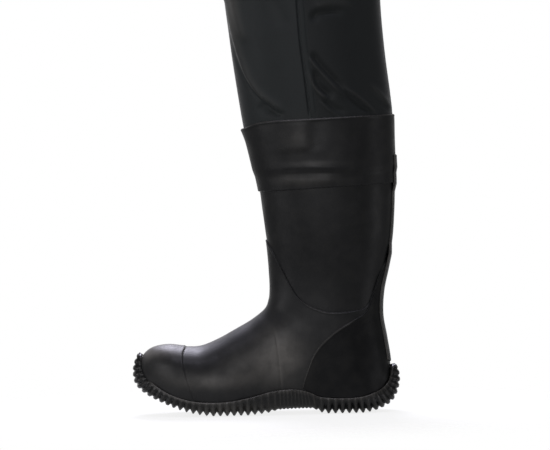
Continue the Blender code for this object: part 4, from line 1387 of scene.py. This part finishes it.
def seam_distance(points):
    """Distance of points behind the leg's side seam, in the side view."""
    seam = along_curve(LEG_SEAM, EDGE_POINTS)[::-1]
    return points[..., 0] - np.interp(points[..., 2], seam[:, 1], seam[:, 0])


def below_hem(distance):
    """Section number at a distance below the hem, on the front of the leg."""
    return HEM - distance / float(section_length(HEM - 0.5, 0.0))


def leg_heights(numbers, reach, sizes):
    """Outer height of the leg's cloth, with its folds, felled seams and hem."""
    points = skin(numbers, reach)
    clear = smooth((numbers - edge_numbers(CUFF_TOP, reach)) / FOLD_START_RUN)
    hem = smooth((numbers - below_hem(sizes.hem)) / HEM_RUN_SECTIONS)
    behind = seam_distance(points)
    seam = between(behind, SEAM_START, SEAM_RISE, sizes.seam, SEAM_FALL)
    groove = stripe(behind, *SEAM_GROOVE_STRIPE)
    calm = 1.0 - SEAM_CALM * stripe(behind, sizes.seam / 2, sizes.seam)
    folds = LEG_FOLD_STRENGTH * fold_height(LEG_FOLDS, points, reach)
    relief = folds * calm + SEAM_HEIGHT * seam - SEAM_GROOVE * groove
    return sizes.gap + sizes.fabric + clear * relief + HEM_HEIGHT * hem


class WADER_OT_leg(Operator):
    """Make the fabric leg with its folds, side seams and hem"""

    bl_idname = "wader.leg"
    bl_label = "Leg"

    def execute(self, context):
        sizes = in_mm(context.scene.wader_sizes)
        columns = self.columns()
        start = edge_numbers(LEG_EDGE, columns)
        numbers = np.array(band(start, np.full_like(columns, float(HEM)), LEG_ROWS))
        seam_numbers, seam_reach = located(LEG_SEAM, EDGE_POINTS)
        seam = np.interp(numbers.mean(axis=1), seam_numbers[::-1], seam_reach[::-1])[:, None]
        turn = np.abs(columns)
        ahead = turn * seam / SEAM_SHARE
        behind = seam + (turn - SEAM_SHARE) * (1.0 - seam) / (1.0 - SEAM_SHARE)
        reach = np.sign(columns) * np.where(turn < SEAM_SHARE, ahead, behind)
        high = leg_heights(numbers, reach, sizes)
        crests = fold_height(LEG_FOLDS, skin(numbers, reach), reach)
        # Painted highlight on the crests of the folds
        painted_highlight = CREST_HIGHLIGHT * smooth(crests / CREST_HEIGHT)
        blocks = [(numbers, reach, high, high - sizes.fabric, painted_highlight)]
        leg = add_shell("leg_nylon", blocks, [material_for(coated_nylon)])
        places = np.array([vertex.co for vertex in leg.data.vertices]) / MM
        past_seam = (seam_distance(places) - sizes.seam) / PANEL_BLUR
        set_layer(leg.data, "back_panel", smooth(past_seam + 0.5))
        finish_piece(leg, "nylon", "leg")
        girth = np.linalg.norm(np.diff(skin(HEM - 1.0, columns), axis=0), axis=1).sum()
        return {"FINISHED"}

    def columns(self):
        """Columns round the leg, closer together beside the seams."""
        near = SEAM_SHARE + np.array(SEAM_STEPS) / HALF_GIRTH
        side = np.unique(np.concatenate([np.linspace(0.0, 1.0, LEG_COLUMNS + 1), near]))
        return np.concatenate([-side[:0:-1], side])


class WADER_OT_stitches(Operator):
    """Sew the leg's side seams and its hem"""

    bl_idname = "wader.stitches"
    bl_label = "Stitches"

    def execute(self, context):
        group = context.scene.wader_sizes
        sizes = in_mm(group)
        seam = along_curve(LEG_SEAM, EDGE_POINTS)
        seam = seam[seam[:, 1] < STITCH_TOP_Z]
        lines = []
        for inset in (STITCH_INSETS[0], sizes.seam - STITCH_INSETS[1]):
            numbers, reach = np.array([locate(x + inset, z) for x, z in seam]).T
            lines += [(numbers, side * reach) for side in (-1.0, 1.0)]
        round_hem = columns_of(COLUMNS)
        lines.append((np.full_like(round_hem, below_hem(sizes.hem - HEM_STITCH_INSET)), round_hem))
        points, edges = [], []
        for numbers, reach in lines:
            heights = leg_heights(numbers[None], reach, sizes)[0]
            start = sum(len(row) for row in points)
            points.append(lift(numbers, reach, heights + sizes.thread * STITCH_LIFT_SHARE))
            edges += [(start + k, start + k + 1) for k in range(len(numbers) - 1)]
        stitches = add_piece("leg_stitches", np.vstack(points), [], edges=edges)
        tree = stitch_tree(material_for(sewing_thread))
        use_tree(stitches, tree, Pitch=group.stitch_pitch, Stitch=group.stitch, Thread=group.thread)
        stitches.data.shade_smooth()
        finish_piece(stitches, "nylon")
        return {"FINISHED"}


class WADER_OT_stage(Operator):
    """Set the floor, the lights and the camera"""

    bl_idname = "wader.stage"
    bl_label = "Stage"

    def execute(self, context):
        scene = context.scene
        self.add_floor(context, scene.wader_colours)
        self.add_lights(scene, scene.wader_stage, scene.wader_colours)
        self.add_world(scene)
        self.add_camera(scene, scene.wader_stage)
        return {"FINISHED"}

    def add_floor(self, context, colours):
        """White board that gives its own light, dimmer in reflections, and fades at its rim."""
        floor, tree, surface = new_material("matt white board", 0.9, 0.1)
        surface["Base Color"].default_value = colours.floor
        surface["Emission Color"].default_value = WHITE
        rays = add_node(tree, "ShaderNodeLightPath", output="Is Glossy Ray")
        glow = {0: rays, 3: 0.82, 4: 0.25}
        add_node(tree, "ShaderNodeMapRange", glow, to=surface["Emission Strength"])
        place = add_node(tree, "ShaderNodeTexCoord", output="Object")
        away = add_node(tree, "ShaderNodeVectorMath", {0: place}, "Value", operation="LENGTH")
        solid = {0: away, 1: FLOOR_FADE, 2: FLOOR_RADIUS, 3: 1.0, 4: 0.0}
        add_node(
            tree, "ShaderNodeMapRange", solid, to=surface["Alpha"], interpolation_type="SMOOTHSTEP"
        )
        bpy.ops.mesh.primitive_circle_add(vertices=96, radius=FLOOR_RADIUS, fill_type="NGON")
        board = context.object
        board.name = "floor"
        board.data.materials.append(floor)
        board.visible_diffuse = False

    def add_lights(self, scene, stage, colours):
        """Soft boxes, each aimed at the middle of the boot."""
        boxes = [
            ("top_box", (-0.14, 1.05, 1.20), (0.55, 0.75), stage.top_power, colours.sky_light),
            ("over_box", (0.0, -0.35, 1.60), (1.2, 0.3), stage.over_power, colours.sky_light),
            ("right_box", (1.50, -0.45, 0.0), (0.5, 0.5), stage.right_power, colours.side_light),
            ("front_box", (-0.20, -2.0, 0.55), (0.8, 0.3), stage.front_power, colours.side_light),
            ("left_box", (-1.15, -0.65, 0.45), (0.9, 0.7), stage.left_power, colours.side_light),
            ("rim_box", (-1.20, 0.75, 0.45), (0.3, 0.6), stage.rim_power, colours.side_light),
        ]
        for name, place, size, power, tint in boxes:
            light = bpy.data.lights.new(name, "AREA")
            light.shape = "RECTANGLE"
            light.size, light.size_y = size
            light.energy = power
            light.color = tint[:3]
            lamp = bpy.data.objects.new(name, light)
            lamp.location = place
            aim = Vector(LIGHTS_AIM) - lamp.location
            lamp.rotation_euler = aim.to_track_quat("-Z", "Y").to_euler()
            lamp.visible_camera = False
            scene.collection.objects.link(lamp)

    def add_world(self, scene):
        """White studio: bright behind the boot, dark on the camera's side."""
        world = bpy.data.worlds.new("white studio")
        world.use_nodes = True
        tree = world.node_tree
        back = tree.nodes["Background"].inputs
        back["Color"].default_value = WHITE
        place = add_node(tree, "ShaderNodeTexCoord", output="Generated")
        depth = add_node(tree, "ShaderNodeSeparateXYZ", {0: place}, "Y")
        glow = {0: depth, 1: 0.72, 2: 0.99, 3: 0.12, 4: 0.9}
        level = add_node(tree, "ShaderNodeMapRange", glow, interpolation_type="SMOOTHSTEP")
        rays = add_node(tree, "ShaderNodeLightPath", output="Is Camera Ray")
        add_node(tree, "ShaderNodeMix", {0: rays, 2: level, 3: 1.0}, to=back["Strength"])
        scene.world = world
        scene.view_settings.view_transform = "Standard"

    def add_camera(self, scene, stage):
        """Camera on the outer side of the boot, level with its cuff."""
        lens = bpy.data.cameras.new("camera")
        lens.sensor_width = 36.0
        lens.lens = lens.sensor_width * stage.distance / stage.frame_width
        lens.clip_end = 100.0
        camera = bpy.data.objects.new("camera", lens)
        target = Vector((stage.look_x, 0.0, stage.look_z))
        camera.location = (stage.look_x, -stage.distance, stage.height)
        aim = (target - camera.location).to_track_quat("-Z", "Y").to_matrix()
        camera.rotation_euler = (aim @ Matrix.Rotation(stage.roll, 3, "Z")).to_euler()
        scene.collection.objects.link(camera)
        scene.camera = camera


PIECES = (
    WADER_OT_outsole,
    WADER_OT_upper,
    WADER_OT_insole,
    WADER_OT_counter,
    WADER_OT_leg,
    WADER_OT_cuff,
    WADER_OT_back_stay,
    WADER_OT_stitches,
    WADER_OT_stage,
)


class WADER_PT_sidebar(Panel):
    """Sizes, colours and pieces of the wader"""

    bl_idname = "WADER_PT_sidebar"
    bl_label = "Bootfoot wader"
    bl_space_type = "VIEW_3D"
    bl_region_type = "UI"
    bl_category = "Wader"

    def draw(self, context):
        for name in GROUPS:
            group = getattr(context.scene, name)
            box = self.layout.box()
            for key in keys_of(group):
                box.prop(group, key)
        for piece in PIECES:
            self.layout.operator(piece.bl_idname)


GROUPS = {
    "wader_sizes": WaderSizes,
    "wader_colours": WaderColours,
    "wader_stage": WaderStage,
}


def register():
    """Adds the classes and the scene's property groups."""
    for name, group in GROUPS.items():
        bpy.utils.register_class(group)
        setattr(bpy.types.Scene, name, PointerProperty(type=group))
    for piece in (*PIECES, WADER_PT_sidebar):
        bpy.utils.register_class(piece)


def unregister():
    """Removes the classes and the scene's property groups."""
    for piece in (WADER_PT_sidebar, *reversed(PIECES)):
        bpy.utils.unregister_class(piece)
    for name, group in GROUPS.items():
        delattr(bpy.types.Scene, name)
        bpy.utils.unregister_class(group)


def main():
    """Makes every piece."""
    register()
    for piece in PIECES:
        family, name = piece.bl_idname.split(".")
        getattr(getattr(bpy.ops, family), name)()


if __name__ == "__main__":
    main()
